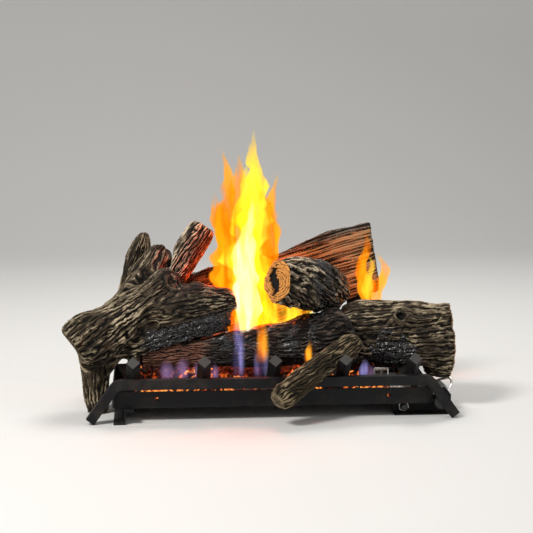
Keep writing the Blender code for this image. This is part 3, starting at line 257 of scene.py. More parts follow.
# Grate, burner pan and their plates: square bar and folded sheet, welded and sprayed with black stove paint.
# Heat has dulled the paint grey-brown in patches, and ash lies on what faces up. The cross bars' front ends
# are sawn and painted as bare steel, whose paler grey is also a painted highlight on them.
stove_paint = hardware_finish(
    "black stove paint", clean=(0.008, 0.008, 0.009), stained=(0.022, 0.019, 0.017), roughness=(0.46, 0.62),
    metallic=0.0, stain=(26, 0.30), grain=(1500, 0.0003), ash=0.06)
stove_shader = stove_paint.node_tree.nodes["Principled BSDF"]
stove_shader.inputs["Specular IOR Level"].default_value = 0.18
finish_nodes(
    stove_paint, "grate_front_bar", "grate_rear_bar", "rear_log_post_1", "rear_log_post_2", "burner_pan",
    "left_support_plate", "right_support_plate", "control_bracket",
)

# The sawn ends that face front and up are painted pale bare steel, which is also a painted highlight on
# them.
sawn_end_way = (0.0, -0.777, 0.629)
dark_steel = (0.016, 0.015, 0.014, 1)
bare_steel_and_highlight = (0.10, 0.095, 0.09, 1)
sawn_bar = stove_paint.copy()
sawn_bar.name = "stove paint, sawn ends bare and highlighted"
tree = sawn_bar.node_tree
shader = tree.nodes["Principled BSDF"]
way_out = add_node(tree, "NewGeometry").outputs["True Normal"]
end_on = add_node(tree, "VectorMath", {0: way_out, 1: sawn_end_way}, operation="DOT_PRODUCT")
on_end = stepped(tree, end_on.outputs["Value"], 0.985, 0.995)
speckle = add_node(tree, "TexNoise", {"Scale": 500.0, "Detail": 4.0}).outputs["Fac"]
bare = colour_mix(tree, stepped(tree, speckle, 0.35, 0.65), dark_steel, bare_steel_and_highlight)
painted = shader.inputs["Base Color"].links[0].from_socket
surface = colour_mix(tree, on_end, painted, bare)
tree.links.new(surface, shader.inputs["Base Color"])
finish_nodes(sawn_bar, *[f"grate_cross_bar_{i}" for i in range(1, 6)])


# Burners: steel tubes fed by a square manifold through brass injectors. The flames have turned the steel
# brown in patches, and the pilot hood that stands in them too.
heat_tinted_steel = hardware_finish(
    "heat tinted steel", clean=(0.46, 0.43, 0.39), stained=(0.24, 0.17, 0.13), roughness=(0.34, 0.5),
    metallic=1.0, stain=(30, 0.33), grain=(1200, 0.00015), ash=0.2)
finish_nodes(heat_tinted_steel, "front_burner_tube", "rear_burner_tube", "gas_manifold", "pilot_hood")
turned_brass = hardware_finish(
    "turned brass", clean=(0.80, 0.56, 0.25), stained=(0.48, 0.31, 0.14), roughness=(0.26, 0.42),
    metallic=1.0, stain=(70, 0.26), grain=(2500, 0.00006))
finish_nodes(turned_brass, "front_injector", "rear_injector", "inlet_fitting")


# Controls: a die-cast aluminium valve and regulator with a feed pipe and a soft pilot tube, a zinc plated
# stem, nut, flame probe, pilot bracket and screws, a ceramic spark electrode, and a moulded knob, cap and
# igniter.
cast_aluminium = hardware_finish(
    "die cast aluminium", clean=(0.60, 0.60, 0.59), stained=(0.42, 0.41, 0.39), roughness=(0.42, 0.56),
    metallic=1.0, stain=(55, 0.28), grain=(1100, 0.00025), ash=0.12)
finish_nodes(cast_aluminium, "control_valve_body", "regulator_body", "feed_pipe")
soft_aluminium = hardware_finish(
    "soft aluminium tube", clean=(0.86, 0.86, 0.87), stained=(0.66, 0.65, 0.64), roughness=(0.22, 0.36),
    metallic=1.0, stain=(80, 0.25), grain=(2600, 0.00005))
finish_nodes(soft_aluminium, "pilot_tube")
zinc_plate = hardware_finish(
    "zinc plated steel", clean=(0.64, 0.64, 0.62), stained=(0.44, 0.42, 0.38), roughness=(0.30, 0.46),
    metallic=1.0, stain=(90, 0.28), grain=(2200, 0.00008), ash=0.1)
finish_nodes(zinc_plate, "control_stem", "igniter_nut", "pilot_bracket", "thermocouple", "bracket_screw",
             *[f"pan_screw_{i}" for i in range(1, 5)])
moulded_black = hardware_finish(
    "moulded black plastic", clean=(0.028, 0.028, 0.029), stained=(0.05, 0.048, 0.046),
    roughness=(0.36, 0.5), metallic=0.0, stain=(120, 0.24), grain=(3000, 0.00008), ash=0.15)
finish_nodes(moulded_black, "control_knob", "igniter_body", "igniter_button", "regulator_cap")
glazed_ceramic = hardware_finish(
    "glazed ceramic", clean=(0.86, 0.84, 0.79), stained=(0.55, 0.48, 0.40), roughness=(0.16, 0.4),
    metallic=0.0, stain=(160, 0.26), grain=(2500, 0.00004))
finish_nodes(glazed_ceramic, "spark_electrode")


# Logs: refractory ceramic cast in moulds of driftwood, then painted by hand, dark in the cracks and tan on
# the ridges, and black and glassy where the flames char them. The dark cracks are also painted shade, and
# the pale ridges a painted highlight. The middle log comes first. It lies across the grate, dark all over,
# charred along its middle and split at its left end.
def crumb(cell, seed):
    """A number from 0 to 1 for each cell of a lattice, scattered by large odd factors."""
    mixed = (seed + 1) * 40503
    for axis, factor in enumerate((73856093, 19349663, 83492791)):
        mixed = mixed ^ cell[:, axis] * factor
    mixed = (mixed ^ (mixed >> 13)) * 1274126177
    return ((mixed ^ (mixed >> 16)) & 0xFFFFFF) / 0xFFFFFF


def swell(place, seed):
    """Smooth noise from about -1 to 1 at each place, one swell to a unit of length."""
    full_swing = 1.6
    base = np.floor(place).astype(np.int64)
    part = place - base
    ease = part ** 3 * (part * (part * 6 - 15) + 10)
    height = np.zeros(len(place))
    for corner in itertools.product((0, 1), repeat=3):
        away = part - corner
        slope = sum((crumb(base + corner, seed + 7 * k) * 2 - 1) * away[:, k] for k in range(3))
        height += slope * np.prod(np.where(corner, ease, 1 - ease), axis=1)
    return height * full_swing


def crackle(place, seed):
    """Distance to the border between the cells of a crackle, and a number for each cell."""
    out_of_reach = 9.0
    base = np.floor(place).astype(np.int64)
    nearest = np.full(len(place), out_of_reach)
    second = np.full(len(place), out_of_reach)
    number = np.zeros(len(place))
    for step in itertools.product((-1, 0, 1), repeat=3):
        cell = base + step
        middle = cell + np.stack([crumb(cell, seed + 11 * k) for k in range(3)], 1)
        away = np.linalg.norm(place - middle, axis=1)
        closer = away < nearest
        second = np.where(closer, nearest, np.minimum(second, away))
        number = np.where(closer, crumb(cell, seed + 50), number)
        nearest = np.where(closer, away, nearest)
    return second - nearest, number


def smooth_share(value, low, high):
    """0 at low, 1 at high and a smooth rise between."""
    share = np.clip((value - low) / (high - low), 0, 1)
    return share * share * (3 - 2 * share)


def toward(first, second, share):
    """The first value moved toward the second by a share."""
    return first + share * (second - first)


def round_copy(node, name, voxel=0.004, rounds=5):
    """A copy of a CAD solid with its flats rounded off, in even squares a quarter of the voxel wide."""
    rough = bpy.data.objects.new(name, nodes[node].data.copy())
    bpy.context.scene.collection.objects.link(rough)
    weld = rough.modifiers.new("weld", "WELD")
    weld.merge_threshold = 0.00001
    remesh = rough.modifiers.new("remesh", "REMESH")
    remesh.mode = "VOXEL"
    remesh.voxel_size = voxel
    soften = rough.modifiers.new("soften", "SMOOTH")
    soften.factor = 0.5
    soften.iterations = rounds
    divide = rough.modifiers.new("divide", "SUBSURF")
    divide.levels = divide.render_levels = 2
    graph = bpy.context.evaluated_depsgraph_get()
    mesh = bpy.data.meshes.new_from_object(rough.evaluated_get(graph))
    bpy.data.objects.remove(rough)
    mesh.name = name
    return mesh


def mesh_arrays(mesh):
    """The points of a mesh and the way out at each."""
    points = np.empty(len(mesh.vertices) * 3, np.float32)
    mesh.vertices.foreach_get("co", points)
    ways = np.empty(len(mesh.vertices) * 3, np.float32)
    mesh.vertex_normals.foreach_get("vector", ways)
    return points.reshape(-1, 3).astype(float), ways.reshape(-1, 3).astype(float)


def limb_way(limb):
    """The way that a limb runs from its start to its end, and its length."""
    way = np.subtract(limb[1], limb[0])
    length = np.linalg.norm(way)
    return way / length, length


def on_limbs(points, limbs):
    """Each limb's share of every point, with the point's place along the limb, its turn round it and its
    distance out from it. A limb is its start, its end and its radius."""
    sharpness = 14
    no_limbs_way = (0.3, 0.1, 1.0)
    shares, places = [], []
    for limb in limbs:
        way, length = limb_way(limb)
        side = np.cross(way, no_limbs_way)
        side = side / np.linalg.norm(side)
        away = points - np.array(limb[0])
        along = away @ way
        x, y = away @ side, away @ np.cross(side, way)
        beyond = along - np.clip(along, 0, length)
        shares.append(np.exp(-sharpness * np.hypot(np.hypot(x, y), beyond) / limb[2]))
        places.append((along, np.arctan2(y, x), np.hypot(x, y)))
    shares = np.array(shares)
    return shares / shares.sum(0), places


def ridge_wave(phase):
    """Flat-topped ridges between narrow cracks, one to each whole number of the phase."""
    return smooth_share(np.abs(phase % 1 * 2 - 1), 0.06, 0.60)


def drawn_out(place, length, across, seed):
    """Swells of a length along a limb and a width across it."""
    return swell(place / (length, across, across), seed)


def bark_relief(points, ways, limbs, pitch, run, twist, seed, sway=0.9):
    """Heights of broad lobes and of wiry crests, from 0 to 1, and the grain's own coordinates. The crests
    run along the limbs, a pitch apart, and round the year rings on their ends."""
    ring_pitch = 0.0036
    check_spacing = 0.010
    shares, places = on_limbs(points, limbs)
    lobes, crests = np.zeros(len(points)), np.zeros(len(points))
    grain = np.zeros((len(points), 3))
    main = shares.argmax(0)
    wobble = 0.8 * swell(points / 0.012, seed) + 0.3 * swell(points / 0.004, seed + 1)
    checks = np.clip(crackle(points / check_spacing, seed)[0] / 0.12, 0, 1)
    for number, (share, (along, turn, out), limb) in enumerate(zip(shares, places, limbs)):
        start, end, radius = limb
        axis = np.subtract(end, start)
        end_on = smooth_share(np.abs(ways @ axis) / np.linalg.norm(axis), 0.8, 0.92)
        rings = 0.35 + 0.5 * ridge_wave(out / ring_pitch + wobble) * checks
        near = share > 0.01
        along, turned, weight = along[near], (turn + twist * along)[near], share[near]
        cos, sin = np.cos(turned) * radius, np.sin(turned) * radius
        place = np.stack([along, cos, sin], 1)
        key = seed * 100 + number * 17
        broad = drawn_out(place, 1.6 * run, 2.6 * pitch, key)
        drift = drawn_out(place, run, 0.020, key + 1)
        other = drawn_out(place, 0.8 * run, 0.016, key + 2)
        change = drawn_out(place, 0.030, 0.013, key + 3)
        crinkle = drawn_out(place, 0.010, 0.008, key + 4)
        fray = drawn_out(place, 0.004, 0.0035, key + 5)
        broken = drawn_out(place, 0.016, 0.009, key + 6)
        ridges = round(2 * math.pi * radius / pitch)
        bend = 0.36 * crinkle + 0.15 * fray
        rounds = turned / (2 * math.pi)
        wire = ridge_wave(ridges * rounds + sway * drift + bend)
        cord = ridge_wave(round(0.75 * ridges) * rounds + sway * other + bend)
        thread = ridge_wave(round(2.3 * ridges) * rounds + 2.2 * sway * other + 1.5 * bend)
        taken = smooth_share(change, -0.12, 0.12)
        wire = wire * (1 - taken) + cord * taken
        whole = np.clip(0.72 + 1.0 * broken, 0, 1)
        lobes[near] += weight * np.clip(1.1 - 2.2 * np.abs(broad), 0, 1)
        sides = 0.70 * wire * (0.35 + 0.65 * whole) + 0.30 * thread * (0.3 + 0.7 * wire)
        crests[near] += weight * toward(sides, rings[near], end_on[near])
        mine = main[near] == number
        grain[np.flatnonzero(near)[mine]] = np.stack([along + number, cos, sin], 1)[mine]
    return lobes, crests, grain


def bark_depth(lobes, crests, lobe_depth=0.0018, crest_depth=0.0040):
    """How far the bark lies below the CAD solid's skin."""
    return lobe_depth * (1 - lobes) + crest_depth * (1 - crests)


def char_relief(points, size, seed):
    """Height of charred wood's square, crazed cushions, and a number for each cushion."""
    border, number = crackle(points / size, seed)
    return np.minimum(1, border / 0.35) ** 0.6, number


def bark_skin(node, name, limbs, voxel=0.004, **bark):
    """A rounded copy of a log's solid, with its points, the way out at each, and its bark's relief."""
    mesh = round_copy(node, name, voxel)
    points, ways = mesh_arrays(mesh)
    return mesh, points, ways, *bark_relief(points, ways, limbs, **bark)


def carve(mesh, points, ways, depth, masks):
    """Moves a skin's points in by their depths, and keeps the masks for its paint."""
    mesh.vertices.foreach_set("co", (points - ways * depth[:, None]).astype(np.float32).ravel())
    for label, values in masks.items():
        kind, key = ("FLOAT", "value") if values.ndim == 1 else ("FLOAT_VECTOR", "vector")
        layer = mesh.attributes.new(label, kind, "POINT")
        layer.data.foreach_set(key, values.astype(np.float32).ravel())
    mesh.update()


def place_skin(mesh, material, node, body):
    """Puts a finished skin in its CAD node's place."""
    skin = new_piece(mesh.name, mesh, material)
    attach(skin, body)
    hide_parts(node)


log_paint, given, result = new_group(
    "log paint",
    ["Patch Size"],
    ["Crack And Shade Colour", "Bark Colour", "Ridge And Highlight Colour", "Wood Colour", "Char Colour"],
    {"Colour": "Color", "Roughness": "Float", "Gloss": "Float", "Height": "Float"},
)
tree = log_paint
fibre_scale = (70.0, 520.0, 520.0)
grey_wash = (0.52, 0.52, 0.48, 1)
soot_colour = (0.016, 0.014, 0.013, 1)
fleck_colour = (0.72, 0.71, 0.70, 1)
bark_roughness = 0.88
char_roughness = 0.20
char_gloss = 0.7
relief, char, wood, soot = [add_node(tree, "Attribute", attribute_name=label).outputs["Fac"]
                            for label in ("relief", "char", "wood", "soot")]
grain = add_node(tree, "Attribute", attribute_name="grain").outputs["Vector"]
place = add_node(tree, "TexCoord").outputs["Object"]
streaks = add_node(tree, "VectorMath", {0: grain, 1: fibre_scale}, operation="MULTIPLY").outputs["Vector"]
fibre = mottle(tree, streaks, 1.0, 5.0, 0.65)
patch = mottle(tree, place, given["Patch Size"], 4.0, 0.6)
speck = mottle(tree, place, 480.0, 3.0, 0.8)
weather = mottle(tree, place, 31.0, 3.0)
# Low relief takes the crack colour, dark paint that is also painted shade in the cracks, and high relief the
# ridge colour, tan paint that is also a painted highlight on the ridge tops. The bare wood's cracks take the
# crack colour too.
level = total(tree, relief, stepped(tree, fibre, 0.25, 0.75, -0.22, 0.22))
worn = total(tree, level, stepped(tree, patch, 0.35, 0.65, -0.20, 0.16))
base = colour_mix(tree, stepped(tree, level, 0.20, 0.76), given["Crack And Shade Colour"], given["Bark Colour"])
base = colour_mix(tree, stepped(tree, worn, 0.66, 1.10), base, given["Ridge And Highlight Colour"])
greyed = colour_mix(tree, 0.75, base, grey_wash, "MULTIPLY")
base = colour_mix(tree, stepped(tree, weather, 0.42, 0.62), base, greyed)
timber = colour_mix(tree, stepped(tree, level, 0.10, 0.80), given["Crack And Shade Colour"], given["Wood Colour"])
base = colour_mix(tree, wood, base, timber)
smoked = product(tree, soot, stepped(tree, level, 0.15, 0.95, 1.0, 0.72))
base = colour_mix(tree, smoked, base, soot_colour)
fleck = product(tree, stepped(tree, speck, 0.62, 0.68), stepped(tree, level, 0.4, 0.9))
coal = colour_mix(tree, fleck, given["Char Colour"], fleck_colour)
ragged_char = total(tree, char, stepped(tree, speck, 0.3, 0.7, -0.2, 0.2))
burnt = stepped(tree, ragged_char, 0.25, 0.75)
tree.links.new(colour_mix(tree, burnt, base, coal), result["Colour"])
tree.links.new(stepped(tree, burnt, 0.0, 1.0, bark_roughness, char_roughness), result["Roughness"])
tree.links.new(product(tree, burnt, char_gloss), result["Gloss"])
tree.links.new(total(tree, fibre, product(tree, speck, 0.5)), result["Height"])


def log_finish(name, crack_and_shade, bark, ridge_and_highlight, wood):
    """One log's paint: colours for cracks with painted shade, bark, worn ridges with painted highlight, bare
    wood.
    """
    material, tree, shader, _ = new_finish(name)
    colours = {"Crack And Shade Colour": crack_and_shade, "Bark Colour": bark, "Ridge And Highlight Colour": ridge_and_highlight, "Wood Colour": wood,
               "Char Colour": (0.007, 0.006, 0.006)}
    own = {socket: (*colour, 1) for socket, colour in colours.items()}
    paint = add_node(tree, "Group", {"Patch Size": 22.0, **own}, node_tree=log_paint).outputs
    bump = add_node(tree, "Bump", {"Height": paint["Height"], "Distance": 0.0012, "Strength": 1.0})
    tree.links.new(paint["Colour"], shader.inputs["Base Color"])
    tree.links.new(paint["Roughness"], shader.inputs["Roughness"])
    tree.links.new(paint["Gloss"], shader.inputs["Coat Weight"])
    tree.links.new(bump.outputs["Normal"], shader.inputs["Normal"])
    shader.inputs["Coat Roughness"].default_value = 0.12
    shader.inputs["Specular IOR Level"].default_value = 0.18
    return material


charred_bark = log_finish(
    "charred bark", crack_and_shade=(0.006, 0.005, 0.005), bark=(0.026, 0.021, 0.018), ridge_and_highlight=(0.15, 0.115, 0.09),
    wood=(0.24, 0.11, 0.07))
middle_limbs = [((-0.1778, -0.0241, 0.082), (0.1492, -0.0271, 0.107), 0.036)]
char_left_edge = (-0.085, -0.055)
char_right_edge = (0.085, 0.115)
split_edge = (-0.095, -0.070)
char_crack_depth = 0.0009
mesh, points, ways, lobes, crests, grain = bark_skin(
    "middle_charred_log", "middle_log", middle_limbs,
    pitch=0.0060, run=0.030, twist=1.0, seed=2)
cushions, _ = char_relief(points, size=0.0055, seed=5)
charred = smooth_share(points[:, 0], *char_left_edge) * (1 - smooth_share(points[:, 0], *char_right_edge))
split_face = (1 - smooth_share(points[:, 0], *split_edge)) * smooth_share(-ways[:, 1], 0.25, 0.6)
patchy = smooth_share(swell(points / 0.018, 3), -0.25, 0.15)
carve(mesh, points, ways, bark_depth(lobes, crests) + charred * char_crack_depth * (1 - cushions),
      {"relief": crests, "char": charred * patchy * 0.8, "wood": split_face * 0.85, "grain": grain})
place_skin(mesh, charred_bark, "middle_charred_log", "set")


# The rear log is half a split trunk, with its flat split face to the front and bark round its back.
# It is bedded on the rear bar and leans on two posts.
def cut_share(points, ways, at, facing, depth=0.003):
    """How far each point belongs to a flat face through a point, facing a way."""
    facing = np.array(facing) / np.linalg.norm(facing)
    near = 1 - smooth_share(np.abs((points - np.array(at)) @ facing), depth, 2 * depth)
    return near * smooth_share(ways @ facing, 0.55, 0.85)


def split_grain(along, up, length, across, layer, seed):
    """Swells on a split face, of a length along its grain and a width across it."""
    return swell(np.stack([along / length, up / across, np.full(len(up), layer)], 1), seed)


grey_driftwood = log_finish(
    "grey driftwood", crack_and_shade=(0.008, 0.006, 0.005), bark=(0.050, 0.040, 0.031), ridge_and_highlight=(0.27, 0.22, 0.17),
    wood=(0.44, 0.27, 0.13))
rear_limbs = [((-0.115, 0.096, 0.122), (0.230, 0.092, 0.229), 0.064)]
face_point = (0.05, 0.096, 0.17)
grain_way = np.array([0.955, 0, 0.297])
cross_way = np.array([-0.297, 0, 0.955])
axis_point = np.array((0.05, 0, 0.1732))
rind_start = 0.043
rind_end = 0.047
rind_pitch = 0.0052
splinter_depth = 0.0034
mesh, points, ways, lobes, crests, grain = bark_skin(
    "rear_log", "rear_log_skin", rear_limbs, voxel=0.0048,
    pitch=0.0086, run=0.060, twist=1.5, seed=4)
face = cut_share(points, ways, face_point, (0, -1, 0))
along, up = points @ grain_way, points @ cross_way
sway = 0.005 * split_grain(along, up, 0.09, 0.05, 3.3, 41)
fissure = split_grain(along, up + sway, 0.15, 0.0075, 3.3, 42)
rib = split_grain(along, up + 1.2 * sway, 0.22, 0.0050, 7.1, 43)
hair = split_grain(along, up + sway, 0.03, 0.0013, 1.7, 44)
splinters = 0.26 + 0.74 * np.maximum(0, 1 - np.abs(rib) / 0.24) + 0.14 * hair
splinters = np.clip(splinters - 0.75 * np.maximum(0, 1 - np.abs(fissure) / 0.10), 0, 1)
above_axis = up - axis_point @ cross_way + 0.3 * sway + 0.002 * swell(points / 0.006, 45)
rind = smooth_share(above_axis, rind_start, rind_end)
rind_bark = ridge_wave(up / rind_pitch + 2 * fissure + 0.3 * hair)
flat = rind * rind_bark + (1 - rind) * splinters
grain[face > 0.5] = np.stack([along, up, points[:, 1]], 1)[face > 0.5]
carve(mesh, points, ways, toward(bark_depth(lobes, crests), splinter_depth * (1 - flat), face),
      {"relief": toward(crests, flat, face), "wood": face * (1 - rind), "grain": grain})
place_skin(mesh, grey_driftwood, "rear_log", "set")


# The slim log behind on the left leans up from the rear bar. It is cast in one piece and painted tan like
# the big logs, and a little soot has dulled it.
tan_driftwood = log_finish(
    "tan driftwood", crack_and_shade=(0.006, 0.005, 0.004), bark=(0.072, 0.053, 0.034), ridge_and_highlight=(0.52, 0.42, 0.28),
    wood=(0.42, 0.23, 0.10))
slim_limbs = [((-0.2148, 0.1219, 0.060), (-0.1698, 0.1019, 0.2569), 0.0215)]
slim_soot = 0.1
mesh, points, ways, lobes, crests, grain = bark_skin(
    "left_rear_log", "left_rear_log_skin", slim_limbs, voxel=0.0036,
    pitch=0.0060, run=0.035, twist=5.0, seed=6)
carve(mesh, points, ways, bark_depth(lobes, crests, lobe_depth=0.001, crest_depth=0.0026),
      {"relief": crests, "soot": np.full(len(points), slim_soot), "grain": grain})
place_skin(mesh, tan_driftwood, "left_rear_log", "set")


# The big left log is bent like a knee. Its foot hangs over the left end of the grate, and its branches end
# in front of the flame and behind it. Its belly is charred by the front burner.
def curl(points, centre, reach, pitch, seed):
    """Ridges that curl round a knot: their height, their share of the points near it, and each point's
    distance from it."""
    away = np.linalg.norm(points - np.array(centre), axis=1)
    wave = away / pitch + 0.6 * swell(points / 0.008, seed) + 0.25 * swell(points / 0.0035, seed + 1)
    return 0.5 + 0.5 * np.cos(2 * math.pi * wave), 1 - smooth_share(away, 0.6 * reach, reach), away


trunk = ((-0.2718, -0.0281, 0.0909), (-0.1238, -0.0011, 0.2039), 0.046)
foot = ((-0.2468, -0.0281, 0.0949), (-0.2408, -0.0301, -0.004), 0.025)
front_branch = ((-0.1528, -0.0181, 0.1449), (-0.0328, -0.0231, 0.1629), 0.034)
belly_limb = ((-0.2008, -0.0161, 0.0909), (-0.0428, -0.0201, 0.1469), 0.035)
rear_branch = ((-0.1968, 0.0139, 0.1449), (-0.1408, 0.0619, 0.2369), 0.029)
knee_limbs = [trunk, foot, front_branch, belly_limb, rear_branch]
belly_left_edge = (-0.180, -0.158)
char_crack_depth = 0.0016
char_step = 0.0022
burl_place = (-0.126, -0.034, 0.203)
hollow_radius = 0.004
hollow_depth = 0.004
mesh, points, ways, lobes, crests, grain = bark_skin(
    "left_front_log", "left_front_log_skin", knee_limbs, voxel=0.0046,
    pitch=0.0086, run=0.045, twist=2.0, seed=8)
burl, near_burl, away = curl(points, burl_place, reach=0.030, pitch=0.0085, seed=61)
crests = toward(crests, burl, 0.8 * near_burl)
hollow = 1 - smooth_share(away, hollow_radius, 2 * hollow_radius)
tumble = np.stack([swell(points / 0.009, 70 + k) for k in range(3)], 1) * 0.003
cushions, number = char_relief(points + tumble, size=0.0068, seed=9)
ragged = 0.35 * swell(points / 0.016, 62) + 0.15 * swell(points / 0.006, 67)
shares, _ = on_limbs(points, knee_limbs)
belly = smooth_share(shares[knee_limbs.index(belly_limb)] + ragged, 0.35, 0.55)
belly *= smooth_share(points[:, 0] + 0.04 * ragged, *belly_left_edge)
char_depth = char_crack_depth * (1 - cushions) + char_step * number
smoke = 0.45 * smooth_share(points[:, 0] + 0.5 * points[:, 2], -0.085, -0.020) * (1 - belly)
# The hollow at the burl's heart is darkened through its relief: painted shade in the hollow.
relief = toward(crests, cushions, belly) - 0.6 * hollow
carve(mesh, points, ways, bark_depth(lobes, crests) + belly * char_depth + hollow_depth * hollow,
      {"relief": relief, "char": belly, "soot": smoke, "grain": grain})
place_skin(mesh, tan_driftwood, "left_front_log", "set")


# The thick right log lies over the right end of the grate. It is cast and painted like the left one. A knot
# looks out of its front, its right end is sawn, and the front burner has scorched it below the knot.
right_limbs = [((0.1272, 0.0309, 0.1029), (0.3172, -0.0181, 0.0969), 0.058)]
knot_place = (0.2120, -0.0385, 0.1428)
hole_edge = (0.0045, 0.0072)
hole_depth = 0.007
sawn_end = (0.2922, 0, 0)
scorch_x, scorch_z = 0.200, 0.080
scorch_edge = (0.028, 0.040)
flake_depth = 0.0012
mesh, points, ways, lobes, crests, grain = bark_skin(
    "right_front_log", "right_front_log_skin", right_limbs, voxel=0.0046,
    pitch=0.0084, run=0.075, twist=-2.0, sway=1.1, seed=10)
knot, near_knot, away = curl(points, knot_place, reach=0.018, pitch=0.0052, seed=63)
crests = toward(crests, np.maximum(knot, 0.55), near_knot)
hole = 1 - smooth_share(away, *hole_edge)
sawn = cut_share(points, ways, sawn_end, (1, 0, 0))
flakes, _ = char_relief(points, size=0.0060, seed=11)
edge = 0.016 * swell(points / 0.016, 64) + 0.008 * swell(points / 0.005, 69)
from_scorch = np.hypot(points[:, 0] - scorch_x, points[:, 2] - scorch_z)
scorch = 1 - smooth_share(from_scorch + edge, *scorch_edge)
scorch *= (1 - near_knot) * smooth_share(-points[:, 1], -0.02, 0.0)
# The knot hole is darkened through its relief and the soot mask: painted shade in the hole.
depth = bark_depth(lobes, crests) + hole_depth * hole + scorch * flake_depth * (1 - flakes)
relief = toward(crests, flakes, scorch) - hole
carve(mesh, points, ways, depth,
      {"relief": relief, "char": scorch * 0.85, "wood": sawn, "soot": hole, "grain": grain})
place_skin(mesh, tan_driftwood, "right_front_log", "set")


# The centre log rests on the middle and rear logs and points at the viewer with its cut end, which is
# cracked.
# Its paint is a paler copy of the tan logs' paint, a painted highlight, and its cut end is painted orange as
# light from the flame beside it. It is cast like the others and lifts off by hand.
# Paler than the tan driftwood as a painted highlight, with bare wood painted orange as painted flame light.
flame_lit_painted_driftwood = log_finish(
    "driftwood with painted flame light", crack_and_shade=(0.006, 0.005, 0.004), bark=(0.088, 0.066, 0.044), ridge_and_highlight=(0.72, 0.58, 0.41),
    wood=(0.74, 0.32, 0.08))
centre_limbs = [((0.0212, -0.0781, 0.2009), (0.1372, 0.0559, 0.1589), 0.031)]
end_middle = centre_limbs[0][0]
ring_pitch = 0.0042
ring_depth = 0.0022
cleft_aside = 0.006
cleft_half_width = 0.0080
cleft_half_height = 0.021
cleft_depth = 0.0045
scorch_edge = (0.062, 0.095)
mesh, points, ways, lobes, crests, grain = bark_skin(
    "centre_split_log", "centre_log_skin", centre_limbs, voxel=0.0036,
    pitch=0.0110, run=0.050, twist=8.0, seed=12)
way, _ = limb_way(centre_limbs[0])
cut = cut_share(points, ways, end_middle, -way, depth=0.004)
_, places = on_limbs(points, centre_limbs)
out = places[0][2]
wavy_radius = out + 0.0028 * swell(points / 0.010, 13) + 0.0008 * swell(points / 0.0035, 15)
rings = ridge_wave(wavy_radius / ring_pitch)
aside = np.cross(-way, (0, 0, 1))
aside = aside / np.linalg.norm(aside)
from_middle = points - np.array(end_middle)
u, v = from_middle @ aside, from_middle @ np.cross(aside, -way)
cleft_u = u - cleft_aside - 0.004 * np.sin(v / 0.007)
cleft = np.hypot(cleft_u / cleft_half_width, v / cleft_half_height) + 0.30 * swell(points / 0.006, 14)
wedge = 1 - smooth_share(cleft, 0.75, 1.05)
# The cleft in the cut end is darkened through its relief and the soot mask: painted shade in the cleft.
end_relief = (0.30 + 0.50 * rings + 0.35 * swell(points / 0.004, 65)) * (1 - 0.95 * wedge)
end_depth = ring_depth * (1 - end_relief) + cleft_depth * wedge
scorch = smooth_share(points[:, 0], *scorch_edge) * smooth_share(swell(points / 0.016, 66), -0.5, 0.0) * 0.8
relief = crests * (1 - cut) + cut * end_relief
bark = bark_depth(lobes, crests, lobe_depth=0.0022, crest_depth=0.0038)
carve(mesh, points, ways, bark * (1 - cut) + cut * end_depth,
      {"relief": relief, "char": scorch, "wood": cut, "soot": cut * wedge, "grain": grain})
place_skin(mesh, flame_lit_painted_driftwood, "centre_split_log", "centre_log")


# The top branch is a short split piece laid on the left log's knuckle, its split face toward the flame. It
# is cast like the logs and lifts off by hand. It wears the centre log's paler paint, and its split face is
# painted orange as light from the flame.
top_limbs = [((-0.1248, 0.0479, 0.1949), (-0.0758, 0.0679, 0.2669), 0.0245)]
split_point = (-0.0775, 0.0415, 0.2320)
split_way = np.array((0.62, -0.74, -0.26))
deepest_split = 0.009
groove_size = (0.030, 0.01, 0.0028)
mesh, points, ways, lobes, crests, grain = bark_skin(
    "top_branch", "top_branch_skin", top_limbs, voxel=0.0034,
    pitch=0.0058, run=0.032, twist=4.0, seed=14)
way, _ = limb_way(top_limbs[0])
cut = cut_share(points, ways, top_limbs[0][1], way, depth=0.004)
beyond = (points - np.array(split_point)) @ split_way
split_off = smooth_share(beyond, 0.0, 0.0012) * (1 - cut)
depth = bark_depth(lobes, crests, lobe_depth=0.0012, crest_depth=0.0028)
to_split = np.maximum(depth, beyond / np.maximum(0.35, ways @ split_way))
depth = np.where(beyond > 0, np.minimum(deepest_split, to_split), depth)
groove_axes = np.linalg.qr(np.stack([way, split_way, np.cross(way, split_way)], 1))[0]
grooved = 0.65 + 0.35 * swell(points @ groove_axes / groove_size, 68)
carve(mesh, points, ways, depth,
      {"relief": toward(crests, grooved, split_off), "wood": split_off, "soot": 0.55 * cut, "grain": grain})
place_skin(mesh, flame_lit_painted_driftwood, "top_branch", "top_branch")


# The front twig is a short thin log laid over the front bar. It is cast like the logs, with worn pale ends
# and a dark pith, and lifts off by hand.
twig_bark = log_finish(
    "twig bark", crack_and_shade=(0.006, 0.005, 0.003), bark=(0.055, 0.039, 0.022), ridge_and_highlight=(0.34, 0.26, 0.15),
    wood=(0.46, 0.37, 0.24))
twig_limbs = [((0.0142, -0.1511, 0.0379), (0.1412, -0.0691, 0.1099), 0.0195)]
worn_edge = (-0.004, 0.003)
pith_radius = 0.006
mesh, points, ways, lobes, crests, grain = bark_skin(
    "front_twig", "front_twig_skin", twig_limbs, voxel=0.0034,
    pitch=0.0052, run=0.030, twist=4.0, seed=16)
_, places = on_limbs(points, twig_limbs)
along, _, out = places[0]
_, length = limb_way(twig_limbs[0])
worn = 1 - smooth_share(np.minimum(along, length - along), *worn_edge)
pith = 1 - smooth_share(out + 0.003 * swell(points / 0.006, 72), pith_radius, 2 * pith_radius)
worn_relief = 0.85 - 0.6 * pith + 0.5 * swell(points / 0.004, 71)
bark = bark_depth(lobes, crests, lobe_depth=0.0008, crest_depth=0.0022)
carve(mesh, points, ways, bark * (1 - worn),
      {"relief": toward(crests, worn_relief, worn), "wood": worn, "grain": grain})
place_skin(mesh, twig_bark, "front_twig", "twig")


